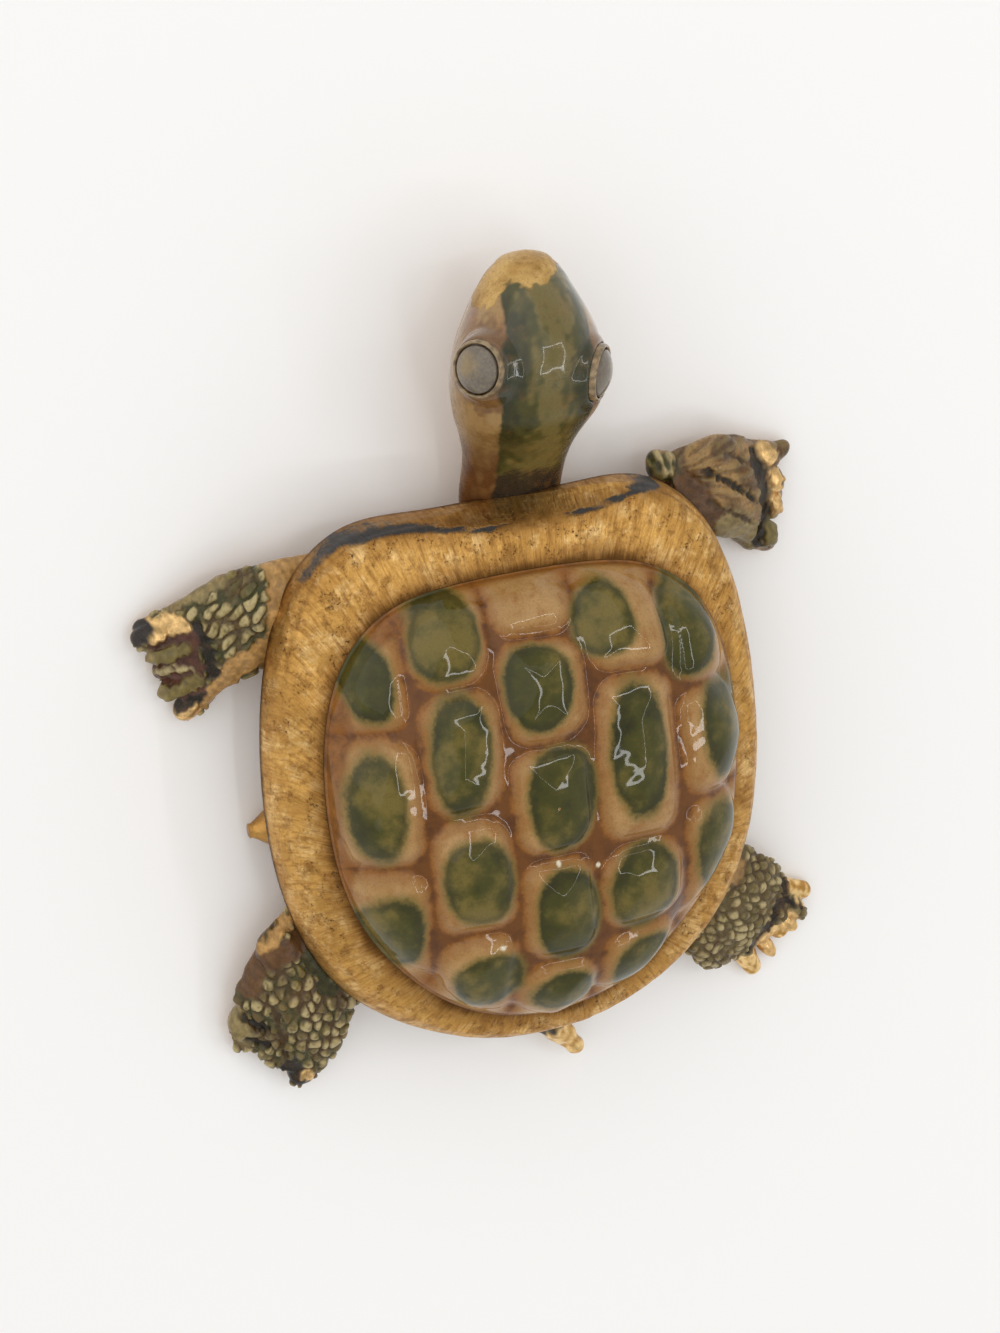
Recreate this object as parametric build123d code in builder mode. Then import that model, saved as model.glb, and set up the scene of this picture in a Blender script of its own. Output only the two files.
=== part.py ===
import os
from collections import namedtuple
from math import cos, radians, sin

from build123d import *

# Turtle brooch, in millimetres. +Y points to the nose, +X to the turtle's right, +Z up out of the shell.
# The origin is on the resting plane under the middle of the brooch.

# Place of the shell's centre over the origin
SHELL_X = 0.5
SHELL_Y = -5.85

# Brushed frame round the shell
RIM_HALF_WIDTH = 15.8
RIM_FRONT = 17.25
RIM_BACK = 17.2
RIM_BASE = 4.2
RIM_HEIGHT = 3.6

# Scoop in the frame over the neck
SCOOP_RADIUS = 36.0
SCOOP_LEAN = 25.0
SCOOP_START = 0.6

# Enamel shell
DOME_HALF_WIDTH = 12.8
DOME_FRONT = 13.4
DOME_BACK = 14.6
DOME_RISE = 4.6
DOME_WALL = 1.3
GROOVE_WIDTH = 1.0
GROOVE_DEPTH = 0.35

# Share of the shell's front length past which a scute's blank is cut by the shell's outline
SCUTE_REACH = 1.2

# Back plate of the casting
PLATE_THICKNESS = 1.6
PLATE_INSET = 0.6

# Neck and head
HEAD_REACH = 15.1
HEAD_HALF_WIDTH = 4.65
HEAD_HALF_DEPTH = 4.3
HEAD_LIFT = 7.0
HEAD_OFFSET = 1.75

# Eyes
EYE_BEZEL_RADIUS = 1.75
EYE_STONE_RADIUS = 1.4
EYE_STONE_RISE = 0.5
EYE_POCKET = 0.45
EYE_TILT = 54.0
EYE_YAW = -11.0
EYE_ASIDE = 1.75
NOSE_TO_EYE = 6.3
EYE_ALONG = HEAD_REACH - NOSE_TO_EYE
EYE_OUT = 4.9
EYE_BEZEL_LENGTH = 2.4

# Legs
LEG_HALF_WIDTH = 3.4
LEG_HALF_DEPTH = 1.35
LEG_ROOT_HEIGHT = 2.8
LEG_REACH = 9.6
CLAW_RADIUS = 0.85
CLAW_TIP_RADIUS = 0.6
CLAW_LENGTH = 2.0
CLAW_HEIGHT = 0.95
CLAW_SPREAD = 24.0
CLAW_DROP = 8.0

# Tail
TAIL_LENGTH = 5.3
TAIL_RADIUS = 1.4
TAIL_TIP_RADIUS = 0.6
TAIL_HEADING = -54.0
TAIL_DROP = 15.0
TAIL_OFFSET = 0.55
TAIL_ROOT_INSIDE = 1.2

# Pin finding under the back plate
PIN_ALONG = -1.8
PIN_WIRE_RADIUS = 0.45
PIN_CATCH_END = -16.1
PIN_CATCH_LENGTH = 4.4
PIN_CATCH_RADIUS = 1.1
PIN_CATCH_TIP_RADIUS = 0.55
PIN_CATCH_TAPER = 1.2
PIN_HINGE_END = 12.5
PIN_HINGE_LENGTH = 3.6
PIN_HINGE_WIDTH = 3.4
PIN_AXIS_HEIGHT = 1.35

# Clearances
SEAT_GAP = 0.05
DOME_FIT = 0.15
NECK_FIT = 0.2
EYE_FIT = 0.08

# Heights that follow from the sizes above
PLATE_TOP = RIM_BASE - SEAT_GAP
PLATE_BOTTOM = PLATE_TOP - PLATE_THICKNESS
GROOVE_LINE = RIM_BASE + RIM_HEIGHT
DOME_BASE = PLATE_TOP + SEAT_GAP
DOME_APEX = GROOVE_LINE + DOME_RISE

# A round piece that stands on its plane, and one that hangs below it
ON_PLANE = (Align.CENTER, Align.CENTER, Align.MIN)
UNDER_PLANE = (Align.CENTER, Align.CENTER, Align.MAX)

# Half outlines of frame and shell, from the front middle round the right side to the rear middle.
# Across is a share of the half width, along a share of the front or back length.
OutlineRow = namedtuple("OutlineRow", "rim_across rim_along dome_across dome_along")
OUTLINE = (
    OutlineRow(0.00, 1.000, 0.00, 1.000),
    OutlineRow(0.31, 1.000, 0.33, 0.990),
    OutlineRow(0.58, 0.990, 0.61, 0.935),
    OutlineRow(0.78, 0.875, 0.83, 0.770),
    OutlineRow(0.91, 0.660, 0.95, 0.530),
    OutlineRow(0.99, 0.300, 1.00, 0.220),
    OutlineRow(1.00, -0.030, 0.99, -0.100),
    OutlineRow(0.94, -0.380, 0.92, -0.380),
    OutlineRow(0.77, -0.690, 0.71, -0.690),
    OutlineRow(0.47, -0.900, 0.39, -0.920),
    OutlineRow(0.00, -1.000, 0.00, -1.000),
)

# Cross-section of the frame's band: side and front are the shares of the way from the frame's
# outline to the shell's, round the sides and at the front, and rise is the share of the height.
BandRow = namedtuple("BandRow", "side front rise")
RIM_BAND = (
    BandRow(0.00, 0.00, 0.00),
    BandRow(0.06, 0.01, 0.28),
    BandRow(0.20, 0.05, 0.58),
    BandRow(0.52, 0.32, 0.85),
    BandRow(1.10, 1.10, 1.00),
)
SHELL_LEVEL = BandRow(1.00, 1.00, 1.00)

# Crown of the shell above its groove line: reach is the share of the outline, rise of the crown.
CrownRow = namedtuple("CrownRow", "reach rise")
CROWN = (
    CrownRow(1.00, 0.00),
    CrownRow(0.99, 0.24),
    CrownRow(0.93, 0.48),
    CrownRow(0.80, 0.71),
    CrownRow(0.58, 0.88),
    CrownRow(0.30, 0.98),
    CrownRow(0.06, 1.00),
)

# Scute columns from the turtle's left to its right. Left and right are shares of the shell's half
# width, and cross holds the cross grooves, as shares of the shell's front length.
ScuteColumn = namedtuple("ScuteColumn", "left right cross")
SCUTE_COLUMNS = (
    ScuteColumn(-1.30, -0.63, (0.44, -0.21)),
    ScuteColumn(-0.63, -0.22, (0.62, 0.02, -0.57)),
    ScuteColumn(-0.22, 0.21, (0.79, 0.30, -0.22, -0.76)),
    ScuteColumn(0.21, 0.66, (0.54, -0.26, -0.69)),
    ScuteColumn(0.66, 1.30, (0.40, -0.13)),
)

# Neck and head, from the root under the frame to the nose. Along is a share of the reach past the
# frame, lift of the head's height, aside of its offset, and width and depth of its half sizes.
HeadRow = namedtuple("HeadRow", "along lift aside width depth")
HEAD = (
    HeadRow(-0.21, 0.43, 0.86, 0.66, 0.20),
    HeadRow(0.00, 0.46, 0.92, 0.69, 0.37),
    HeadRow(0.22, 0.70, 1.04, 0.74, 0.70),
    HeadRow(0.39, 0.90, 1.14, 0.95, 0.96),
    HeadRow(0.55, 1.00, 1.14, 1.00, 0.98),
    HeadRow(0.72, 0.98, 1.22, 0.84, 0.99),
    HeadRow(0.86, 0.94, 1.32, 0.60, 0.76),
    HeadRow(0.95, 0.91, 1.42, 0.39, 0.46),
    HeadRow(0.985, 0.90, 1.45, 0.24, 0.29),
    HeadRow(1.00, 0.90, 1.46, 0.06, 0.08),
)

# Legs. The root is in shares of the frame's half width and of its front or back length, the reach and
# the bow of the leg's middle to its left side in shares of LEG_REACH, and claw the claws' share of
# CLAW_LENGTH. The bearing leads from root to toes, and root_face and toe_face are the headings that
# the first and the last section face. Headings turn from +X to +Y.
Leg = namedtuple("Leg", "root_across root_along bearing reach bow root_face toe_face claw kind")
LEGS = (
    Leg(-0.72, 0.72, 202.5, 0.97, -0.11, 170.0, 200.0, 0.55, "front"),
    Leg(0.76, 0.84, -15.0, 0.75, 0.12, 8.0, -14.0, 0.60, "front"),
    Leg(-0.75, -0.51, 250.0, 1.00, -0.12, 222.0, 238.0, 0.45, "hind"),
    Leg(0.75, -0.53, -43.0, 0.88, -0.12, -33.0, -40.0, 1.00, "hind"),
)

# Leg sections from root to toes: along is a share of the reach, width and depth of the half sizes,
# lift of the root's height.
LegRow = namedtuple("LegRow", "along width depth lift")
LEG_SECTIONS = {
    "front": (
        LegRow(0.00, 0.86, 0.80, 1.00),
        LegRow(0.25, 0.88, 0.92, 1.00),
        LegRow(0.50, 0.96, 1.00, 0.86),
        LegRow(0.75, 0.94, 1.00, 0.60),
        LegRow(0.90, 0.98, 0.92, 0.38),
        LegRow(1.00, 0.86, 0.62, 0.32),
    ),
    "hind": (
        LegRow(0.00, 1.00, 0.80, 1.00),
        LegRow(0.25, 1.12, 0.92, 1.00),
        LegRow(0.45, 1.14, 1.00, 0.88),
        LegRow(0.64, 1.16, 1.00, 0.66),
        LegRow(0.84, 0.86, 0.92, 0.39),
        LegRow(1.00, 0.46, 0.60, 0.34),
    ),
}


def frame_side(share, front, back):
    """Length along Y of an outline share, forward or back of the shell's centre."""
    return share * (front if share > 0 else back)


def outline_point(row, level, grow):
    """One point of the outline at a level of the frame's band, grown outward by about grow."""
    inset = level.side + (level.front - level.side) * max(0, row.rim_along) ** 2
    rim_x = row.rim_across * RIM_HALF_WIDTH
    rim_y = frame_side(row.rim_along, RIM_FRONT, RIM_BACK)
    dome_x = row.dome_across * DOME_HALF_WIDTH
    dome_y = frame_side(row.dome_along, DOME_FRONT, DOME_BACK)
    x = rim_x + (dome_x - rim_x) * inset
    y = rim_y + (dome_y - rim_y) * inset
    return x * (1 + grow / DOME_HALF_WIDTH), y * (1 + grow / DOME_FRONT)


def outline_points(level, grow, reach):
    """Closed outline round the shell's centre."""
    right = [outline_point(row, level, grow) for row in OUTLINE]
    left = [(-x, y) for x, y in right]
    return [(SHELL_X + reach * x, SHELL_Y + reach * y) for x, y in left + right[-2:0:-1]]


def draw_outline(height, level, grow=0.0, reach=1.0):
    """Sketch of the outline, or of a share of its reach, on the level plane at the given height."""
    with BuildSketch(Plane.XY.offset(height)) as sketch:
        with BuildLine():
            Spline(*outline_points(level, grow, reach), periodic=True)
        make_face()
    return sketch.sketch


def domed_solid(depth):
    """Shell outline with its crown, all of it moved inward by the given depth."""
    rise = DOME_RISE - depth
    with BuildPart() as domed:
        add(draw_outline(DOME_BASE, SHELL_LEVEL, -depth))
        extrude(amount=GROOVE_LINE - DOME_BASE)
        for crown in CROWN:
            add(draw_outline(GROOVE_LINE + crown.rise * rise, SHELL_LEVEL, -depth, crown.reach))
        loft()
    return domed


def section(origin, heading, half_width, half_depth):
    """Upright elliptical section across the given compass heading."""
    x, y, _ = origin
    ahead = (cos(radians(heading)), sin(radians(heading)), 0)
    aside = (sin(radians(heading)), -cos(radians(heading)), 0)
    with BuildSketch(Plane(origin=origin, x_dir=aside, z_dir=ahead)) as sketch:
        Ellipse(half_width, half_depth)
    return sketch.sketch


def neck_and_head(grow=0.0):
    """Sections from the neck's root to the nose."""
    sections = []
    for row in HEAD:
        place = (
            SHELL_X + row.aside * HEAD_OFFSET,
            SHELL_Y + RIM_FRONT + row.along * HEAD_REACH,
            row.lift * HEAD_LIFT,
        )
        width = row.width * HEAD_HALF_WIDTH + grow
        depth = row.depth * HEAD_HALF_DEPTH + grow
        sections.append(section(place, 90.0, width, depth))
    with BuildPart() as head:
        for sketch in sections:
            add(sketch)
        loft()
    return head


def leg_point(leg, share):
    """Place of a leg's axis at a share of its reach."""
    root_x = SHELL_X + leg.root_across * RIM_HALF_WIDTH
    root_y = SHELL_Y + frame_side(leg.root_along, RIM_FRONT, RIM_BACK)
    ahead = Vector(cos(radians(leg.bearing)), sin(radians(leg.bearing)))
    aside = Vector(-ahead.Y, ahead.X)
    swing = 4 * share * (1 - share) * leg.bow
    return Vector(root_x, root_y) + (ahead * (share * leg.reach) + aside * swing) * LEG_REACH


def leg_limb(leg):
    """Leg and paw from the root inside the plate to the toes."""
    with BuildPart() as limb:
        for row in LEG_SECTIONS[leg.kind]:
            point = leg_point(leg, row.along)
            facing = leg.root_face + (leg.toe_face - leg.root_face) * row.along
            place = (point.X, point.Y, row.lift * LEG_ROOT_HEIGHT)
            add(section(place, facing, row.width * LEG_HALF_WIDTH, row.depth * LEG_HALF_DEPTH))
        loft()
    return limb


def claw_planes(leg):
    """Planes at the roots of a leg's three claws, spread across its toes and fanned out."""
    toes = LEG_SECTIONS[leg.kind][-2]
    point = leg_point(leg, toes.along)
    across = Vector(-sin(radians(leg.toe_face)), cos(radians(leg.toe_face)))
    spread = toes.width * LEG_HALF_WIDTH - CLAW_RADIUS
    planes = []
    for share in (-1, 0, 1):
        root = point + across * (spread * share)
        turned = radians(leg.toe_face + CLAW_SPREAD * share)
        ahead = (cos(turned), sin(turned), -sin(radians(CLAW_DROP)))
        planes.append(Plane(origin=(root.X, root.Y, CLAW_HEIGHT), z_dir=ahead))
    return planes


def eye_plane(side):
    """Plane on an eye's bezel face, with side +1 for the right eye and -1 for the left one."""
    yaw = radians(EYE_YAW)
    tilt = radians(EYE_TILT)
    outward = Vector(side * sin(tilt) * cos(yaw), side * sin(tilt) * sin(yaw), cos(tilt))
    middle = Vector(SHELL_X + EYE_ASIDE, SHELL_Y + RIM_FRONT + EYE_ALONG, HEAD_LIFT)
    return Plane(origin=middle + outward * EYE_OUT, z_dir=outward)


os.makedirs("parts", exist_ok=True)

# Brushed gold frame: a convex band round the shell's opening, scooped over the neck
neck_way = neck_and_head(NECK_FIT)
scoop_lean = radians(SCOOP_LEAN)
scoop_plane = Plane(
    origin=(SHELL_X + HEAD_OFFSET, SHELL_Y + RIM_FRONT, RIM_BASE + SCOOP_START),
    x_dir=(1, 0, 0),
    z_dir=(0, -sin(scoop_lean), cos(scoop_lean)),
)
with BuildPart() as shell_rim:
    for band in RIM_BAND:
        add(draw_outline(RIM_BASE + band.rise * RIM_HEIGHT, band))
    loft()
    add(draw_outline(RIM_BASE, SHELL_LEVEL, DOME_FIT))
    extrude(amount=RIM_HEIGHT * 2, mode=Mode.SUBTRACT)
    with BuildSketch(scoop_plane):
        with Locations((0, SCOOP_RADIUS)):
            Circle(SCOOP_RADIUS)
    extrude(amount=2 * RIM_HEIGHT, both=True, mode=Mode.SUBTRACT)
    add(neck_way.part, mode=Mode.SUBTRACT)
shell_rim.part.label = "shell_rim"
export_step(shell_rim.part, "parts/shell_rim.step")

# Enamel shell: a hollow dome with raised scutes between sunk grooves
scute_top = domed_solid(0.0)
groove_floor = domed_solid(GROOVE_DEPTH)
hollow = domed_solid(DOME_WALL)
with BuildPart() as scutes:
    with BuildSketch(Plane.XY.offset(DOME_BASE)):
        for column in SCUTE_COLUMNS:
            lines = (SCUTE_REACH,) + column.cross + (-SCUTE_REACH,)
            width = (column.right - column.left) * DOME_HALF_WIDTH - GROOVE_WIDTH
            middle_x = SHELL_X + (column.left + column.right) / 2 * DOME_HALF_WIDTH
            for front, back in zip(lines, lines[1:]):
                middle_y = SHELL_Y + (front + back) / 2 * DOME_FRONT
                with Locations((middle_x, middle_y)):
                    Rectangle(width, (front - back) * DOME_FRONT - GROOVE_WIDTH)
        add(draw_outline(DOME_BASE, SHELL_LEVEL), mode=Mode.INTERSECT)
    extrude(amount=DOME_APEX)
    add(scute_top.part, mode=Mode.INTERSECT)
with BuildPart() as enamel_dome:
    add(groove_floor.part)
    add(scutes.part)
    add(hollow.part, mode=Mode.SUBTRACT)
enamel_dome.part.label = "enamel_dome"
export_step(enamel_dome.part, "parts/enamel_dome.step")

# Casting: back plate, neck and head with eye bezels, four legs with claws, and tail
head = neck_and_head()
limbs = [leg_limb(leg) for leg in LEGS]
tail_turn = radians(TAIL_HEADING)
tail_drop = radians(TAIL_DROP)
tail_plane = Plane(
    origin=(SHELL_X + TAIL_OFFSET, SHELL_Y - RIM_BACK + TAIL_ROOT_INSIDE, PLATE_TOP - TAIL_RADIUS),
    z_dir=(cos(tail_turn) * cos(tail_drop), sin(tail_turn) * cos(tail_drop), -sin(tail_drop)),
)
with BuildPart() as body_casting:
    add(draw_outline(PLATE_BOTTOM, RIM_BAND[0], -PLATE_INSET))
    extrude(amount=PLATE_THICKNESS)
    add(head.part)
    for limb in limbs:
        add(limb.part)
    for leg in LEGS:
        claw_length = leg.claw * CLAW_LENGTH
        with Locations(*claw_planes(leg)):
            Cone(CLAW_RADIUS, CLAW_TIP_RADIUS, claw_length, align=ON_PLANE)
            with Locations((0, 0, claw_length)):
                Sphere(CLAW_TIP_RADIUS)
    with Locations(tail_plane):
        Cone(TAIL_RADIUS, TAIL_TIP_RADIUS, TAIL_LENGTH, align=ON_PLANE)
        with Locations((0, 0, TAIL_LENGTH)):
            Sphere(TAIL_TIP_RADIUS)
    with Locations(eye_plane(-1), eye_plane(1)):
        Cylinder(EYE_BEZEL_RADIUS, EYE_BEZEL_LENGTH, align=UNDER_PLANE)
        Cylinder(EYE_STONE_RADIUS + EYE_FIT, EYE_POCKET, align=UNDER_PLANE, mode=Mode.SUBTRACT)
    split(bisect_by=Plane.XY, keep=Keep.TOP)
body_casting.part.label = "body_casting"
export_step(body_casting.part, "parts/body_casting.step")

# Eyes: two cabochons that stand in their bezels
EYES = (("eye_left", -1), ("eye_right", 1))
cap_radius = (EYE_STONE_RADIUS**2 + EYE_STONE_RISE**2) / (2 * EYE_STONE_RISE)
for name, side in EYES:
    pocket_floor = eye_plane(side).offset(SEAT_GAP - EYE_POCKET)
    stone_height = EYE_POCKET - SEAT_GAP + EYE_STONE_RISE
    with BuildPart(pocket_floor) as eye:
        Cylinder(EYE_STONE_RADIUS, stone_height, align=ON_PLANE)
        with Locations((0, 0, stone_height - cap_radius)):
            Sphere(cap_radius, mode=Mode.INTERSECT)
    eye.part.label = name
    export_step(eye.part, f"parts/{name}.step")

# Pin finding: hinge block, stem and tapered catch in one piece under the plate
pin_top = PLATE_BOTTOM - SEAT_GAP
catch_end = Plane(
    origin=(SHELL_X + PIN_CATCH_END, SHELL_Y + PIN_ALONG, PIN_AXIS_HEIGHT), z_dir=(1, 0, 0)
)
hinge_place = (SHELL_X + PIN_HINGE_END, SHELL_Y + PIN_ALONG, pin_top)
catch_pad_place = (SHELL_X + PIN_CATCH_END + PIN_CATCH_TAPER, SHELL_Y + PIN_ALONG, pin_top)
with BuildPart() as pin_back:
    with Locations(catch_end):
        Cone(PIN_CATCH_TIP_RADIUS, PIN_CATCH_RADIUS, PIN_CATCH_TAPER, align=ON_PLANE)
        Cylinder(PIN_WIRE_RADIUS, PIN_HINGE_END - PIN_CATCH_END, align=ON_PLANE)
    with Locations(catch_end.offset(PIN_CATCH_TAPER)):
        Cylinder(PIN_CATCH_RADIUS, PIN_CATCH_LENGTH, align=ON_PLANE)
    with Locations(catch_pad_place):
        Box(
            PIN_CATCH_LENGTH,
            2 * PIN_CATCH_TIP_RADIUS,
            pin_top - PIN_AXIS_HEIGHT,
            align=(Align.MIN, Align.CENTER, Align.MAX),
        )
    with Locations(hinge_place):
        Box(
            PIN_HINGE_LENGTH,
            PIN_HINGE_WIDTH,
            pin_top - PIN_AXIS_HEIGHT + PIN_CATCH_RADIUS,
            align=(Align.MAX, Align.CENTER, Align.MAX),
        )
pin_back.part.label = "pin_back"
export_step(pin_back.part, "parts/pin_back.step")
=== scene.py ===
import math
from collections import namedtuple

import bpy
import numpy as np
from mathutils import Matrix, Vector, kdtree


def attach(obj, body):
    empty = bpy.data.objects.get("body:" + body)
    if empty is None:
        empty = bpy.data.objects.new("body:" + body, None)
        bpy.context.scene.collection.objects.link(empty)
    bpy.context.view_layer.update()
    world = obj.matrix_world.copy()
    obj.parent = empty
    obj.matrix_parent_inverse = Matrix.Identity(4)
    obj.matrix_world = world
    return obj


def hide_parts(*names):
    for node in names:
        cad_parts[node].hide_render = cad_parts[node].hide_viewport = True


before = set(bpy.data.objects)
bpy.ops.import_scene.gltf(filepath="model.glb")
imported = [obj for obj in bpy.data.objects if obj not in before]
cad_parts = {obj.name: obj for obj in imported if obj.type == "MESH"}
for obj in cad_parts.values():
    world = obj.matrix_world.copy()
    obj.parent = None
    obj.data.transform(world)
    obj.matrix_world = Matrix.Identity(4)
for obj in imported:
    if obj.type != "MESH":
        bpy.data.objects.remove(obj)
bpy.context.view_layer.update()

# Turtle brooch. All sizes are in millimetres and angles in degrees, and a mesh is scaled to metres when
# it is made. +Y points to the nose, +X to the turtle's right, +Z up out of the shell.
MM = 0.001
UP = np.array((0.0, 0.0, 1.0))

# Shell and frame
SHELL_X = 0.5
SHELL_Y = -5.85
RIM_HALF_WIDTH = 15.8
RIM_FRONT = 17.25
RIM_BACK = 17.2
RIM_BASE = 4.2
RIM_HEIGHT = 3.6
SCOOP_RADIUS = 36.0
SCOOP_LEAN = 25.0
SCOOP_START = 0.6
DOME_HALF_WIDTH = 12.8
DOME_FRONT = 13.4
DOME_BACK = 14.6
DOME_RISE = 4.6
DOME_WALL = 1.3
DOME_FIT = 0.15
GROOVE_WIDTH = 0.9
GROOVE_DEPTH = 0.22
FOOT_FLARE = 0.14
FOOT_RISE = 0.3
FOOT_SPREAD = 0.4
SCUTE_PILLOW = 0.55
SCUTE_PILLOW_REACH = 3.1
SCUTE_CORNER = 1.3
SCUTE_WARP = 0.16
CROWN_REACH_POWER = 2.8
CROWN_RISE_POWER = 0.43
DOME_UNEVEN = 0.025
RIM_UNEVEN = 0.07
RIM_RIPPLE = 0.03
CREST_THINNING = 0.16
DOME_AROUND = 360
RIM_AROUND = 560
SEAT_GAP = 0.05
PLATE_TOP = RIM_BASE - SEAT_GAP
PLATE_THICKNESS = 1.6
PLATE_INSET = 0.6
GROOVE_LINE = RIM_BASE + RIM_HEIGHT

# Head and eyes
HEAD_REACH = 15.1
HEAD_HALF_WIDTH = 4.65
HEAD_HALF_DEPTH = 4.3
HEAD_LIFT = 7.0
HEAD_OFFSET = 1.75
EYE_BEZEL_RADIUS = 1.75
EYE_STONE_RADIUS = 1.4
EYE_STONE_RISE = 0.5
EYE_POCKET = 0.45
EYE_TILT = 54.0
EYE_YAW = -11.0
EYE_ASIDE = 1.75
NOSE_TO_EYE = 6.3
EYE_ALONG = HEAD_REACH - NOSE_TO_EYE
EYE_OUT = 4.9
EYE_BEZEL_LENGTH = 2.4

# Legs, claws and tail
LEG_HALF_WIDTH = 3.4
LEG_HALF_DEPTH = 1.35
LEG_ROOT_HEIGHT = 2.8
LEG_REACH = 9.6
CLAW_RADIUS = 0.85
CLAW_TIP_RADIUS = 0.6
CLAW_LENGTH = 2.0
CLAW_HEIGHT = 0.95
CLAW_SPREAD = 24.0
CLAW_DROP = 8.0
KNUCKLE_RADIUS = 0.75
KNUCKLE_END_RADIUS = 0.95
KNUCKLE_BACK = 1.6
KNUCKLE_AHEAD = 0.1
TAIL_LENGTH = 5.3
TAIL_RADIUS = 1.4
TAIL_TIP_RADIUS = 0.6
TAIL_HEADING = -54.0
TAIL_DROP = 15.0
TAIL_OFFSET = 0.55
TAIL_ROOT_INSIDE = 1.2

# Pin finding
PIN_ALONG = -1.8
PIN_WIRE_RADIUS = 0.45
PIN_CATCH_END = -16.1
PIN_CATCH_LENGTH = 4.4
PIN_CATCH_RADIUS = 1.1
PIN_CATCH_TIP_RADIUS = 0.55
PIN_CATCH_TAPER = 1.2
PIN_HINGE_END = 12.5
PIN_HINGE_LENGTH = 3.6
PIN_HINGE_WIDTH = 3.4
PIN_CATCH_NOSE = 0.4
PIN_PAD_CORNER = 0.12
PIN_BLOCK_CORNER = 0.3
BOX_POWER = 0.18
PIN_AXIS_HEIGHT = 1.35

# Radius at which a turned profile ends beside its axis
AXIS_GAP = 0.02

# Farther than any distance that matters
FAR = 99.0


def table(names, *rows):
    """Rows with named columns, the last of which is 0 where a row leaves it out."""
    row = namedtuple("Row", names, defaults=(0,))
    return [row(*values) for values in rows]


# Half outlines of frame and shell, from the front middle round the right side to the rear middle
OUTLINE = table(
    "rim_across rim_along dome_across dome_along",
    (0, 1, 0, 1), (0.31, 1, 0.33, 0.99), (0.58, 0.99, 0.61, 0.935), (0.78, 0.875, 0.83, 0.77),
    (0.91, 0.66, 0.95, 0.53), (0.99, 0.3, 1, 0.22), (1, -0.03, 0.99, -0.1), (0.94, -0.38, 0.92, -0.38),
    (0.77, -0.69, 0.71, -0.69), (0.47, -0.9, 0.39, -0.92), (0, -1, 0, -1),
)

# Cross-section of the frame's band
RIM_BAND = table(
    "rise side front",
    (0, 0, 0), (0.28, 0.06, 0.01), (0.58, 0.2, 0.05), (0.85, 0.52, 0.32), (1, 1.1, 1.1),
)

# Scute columns from the turtle's left to its right, as shares of the shell's half width, with cross
# grooves as shares of its front length
SCUTE_COLUMNS = table(
    "left right cross",
    (-1.3, -0.63, (0.44, -0.21)), (-0.63, -0.22, (0.62, 0.02, -0.57)),
    (-0.22, 0.21, (0.79, 0.3, -0.22, -0.76)), (0.21, 0.66, (0.54, -0.26, -0.69)),
    (0.66, 1.3, (0.4, -0.13)),
)
SCUTE_REACH = 1.3

# Green ovals on the scutes: centre from the shell's centre, half sizes, and how dark the green is
OVALS = table(
    "x y half_width half_length dark",
    (-10.4, 9.1, 1.5, 2.3, 0.75), (-10.8, 1.3, 1.45, 3.4, 0.45), (-10.4, -7, 1.8, 2.6, 0.5),
    (-5.6, 11.1, 2.1, 2.2, 0.3), (-5.6, 4.2, 1.8, 3.8, 0.45), (-5.2, -4, 2.1, 2.8, 0.35),
    (-4.6, -11, 2.1, 1.9, 0.45), (-0.4, 7.6, 2, 2.5, 0.7), (0.5, 0.6, 2.25, 3.2, 0.6),
    (0.4, -7, 2.3, 3.2, 0.65), (0.2, -12.6, 2, 1.4, 0.6), (4.1, 10.8, 1.9, 2.2, 0.45),
    (5.5, 2.4, 1.85, 4.1, 0.7), (5.5, -6.5, 2.1, 2.8, 0.35), (5.6, -12, 2, 1.9, 0.4),
    (9.6, 9.2, 1.8, 3, 0.5), (11.6, 2.3, 1.6, 3, 0.6), (10.9, -5.7, 1.7, 3.2, 0.6),
)
OVAL_POWER = 2.3

# Worn dark line along the frame's front crest, with painted brown shade about it, about the shell's centre
CREST = (
    (-12.6, 14.6), (-11.2, 16), (-10, 16.7), (-8.1, 17.05), (-6.2, 17), (-3.5, 16.65), (-1, 16.3),
    (1.7, 16.15), (4, 16.2), (6.5, 16.6), (8.6, 16.95), (10, 16.7),
)

# Pinholes in the enamel, painted pale as glints of light, about the shell's centre
PINHOLES = ((-0.1, -3.7), (2.5, -4.4), (-3.9, -8.6))
PINHOLE_RADIUS = 0.2

# How much higher the rust-brown edge climbs at the shell's front left corner
BARE_CORNER = 1.3

# Neck and head, from the root under the frame to the nose
HEAD = table(
    "along lift aside width depth",
    (-0.21, 0.43, 0.86, 0.66, 0.2), (0, 0.46, 0.92, 0.69, 0.37), (0.22, 0.7, 1.04, 0.74, 0.7),
    (0.39, 0.9, 1.14, 0.95, 0.96), (0.55, 1, 1.14, 1, 0.98), (0.72, 0.98, 1.22, 0.84, 0.99),
    (0.86, 0.94, 1.32, 0.6, 0.76), (0.95, 0.91, 1.42, 0.39, 0.46), (0.985, 0.9, 1.45, 0.24, 0.29),
    (1, 0.9, 1.46, 0.06, 0.08),
)

# Edges of the green stripe on the head, in millimetres aside of the shell's middle line
STRIPE = table(
    "along left right",
    (-0.05, 0, 4.4), (0.1, -0.1, 4.4), (0.28, -0.5, 4.8), (0.4, -0.8, 4.9), (0.52, -0.8, 4.6),
    (0.64, -0.4, 4.7), (0.76, -0.1, 5.1), (0.86, 0.1, 5), (0.95, 0.4, 4.6),
)

# Edge of the bare gold nose: along as a share of the head's reach, for places aside in millimetres
CAP = table(
    "aside along",
    (-2.5, 0.8), (-0.7, 0.83), (0, 0.86), (0.7, 0.915), (2, 0.905), (3.3, 0.922), (4, 0.94),
    (5.5, 0.93),
)

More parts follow.
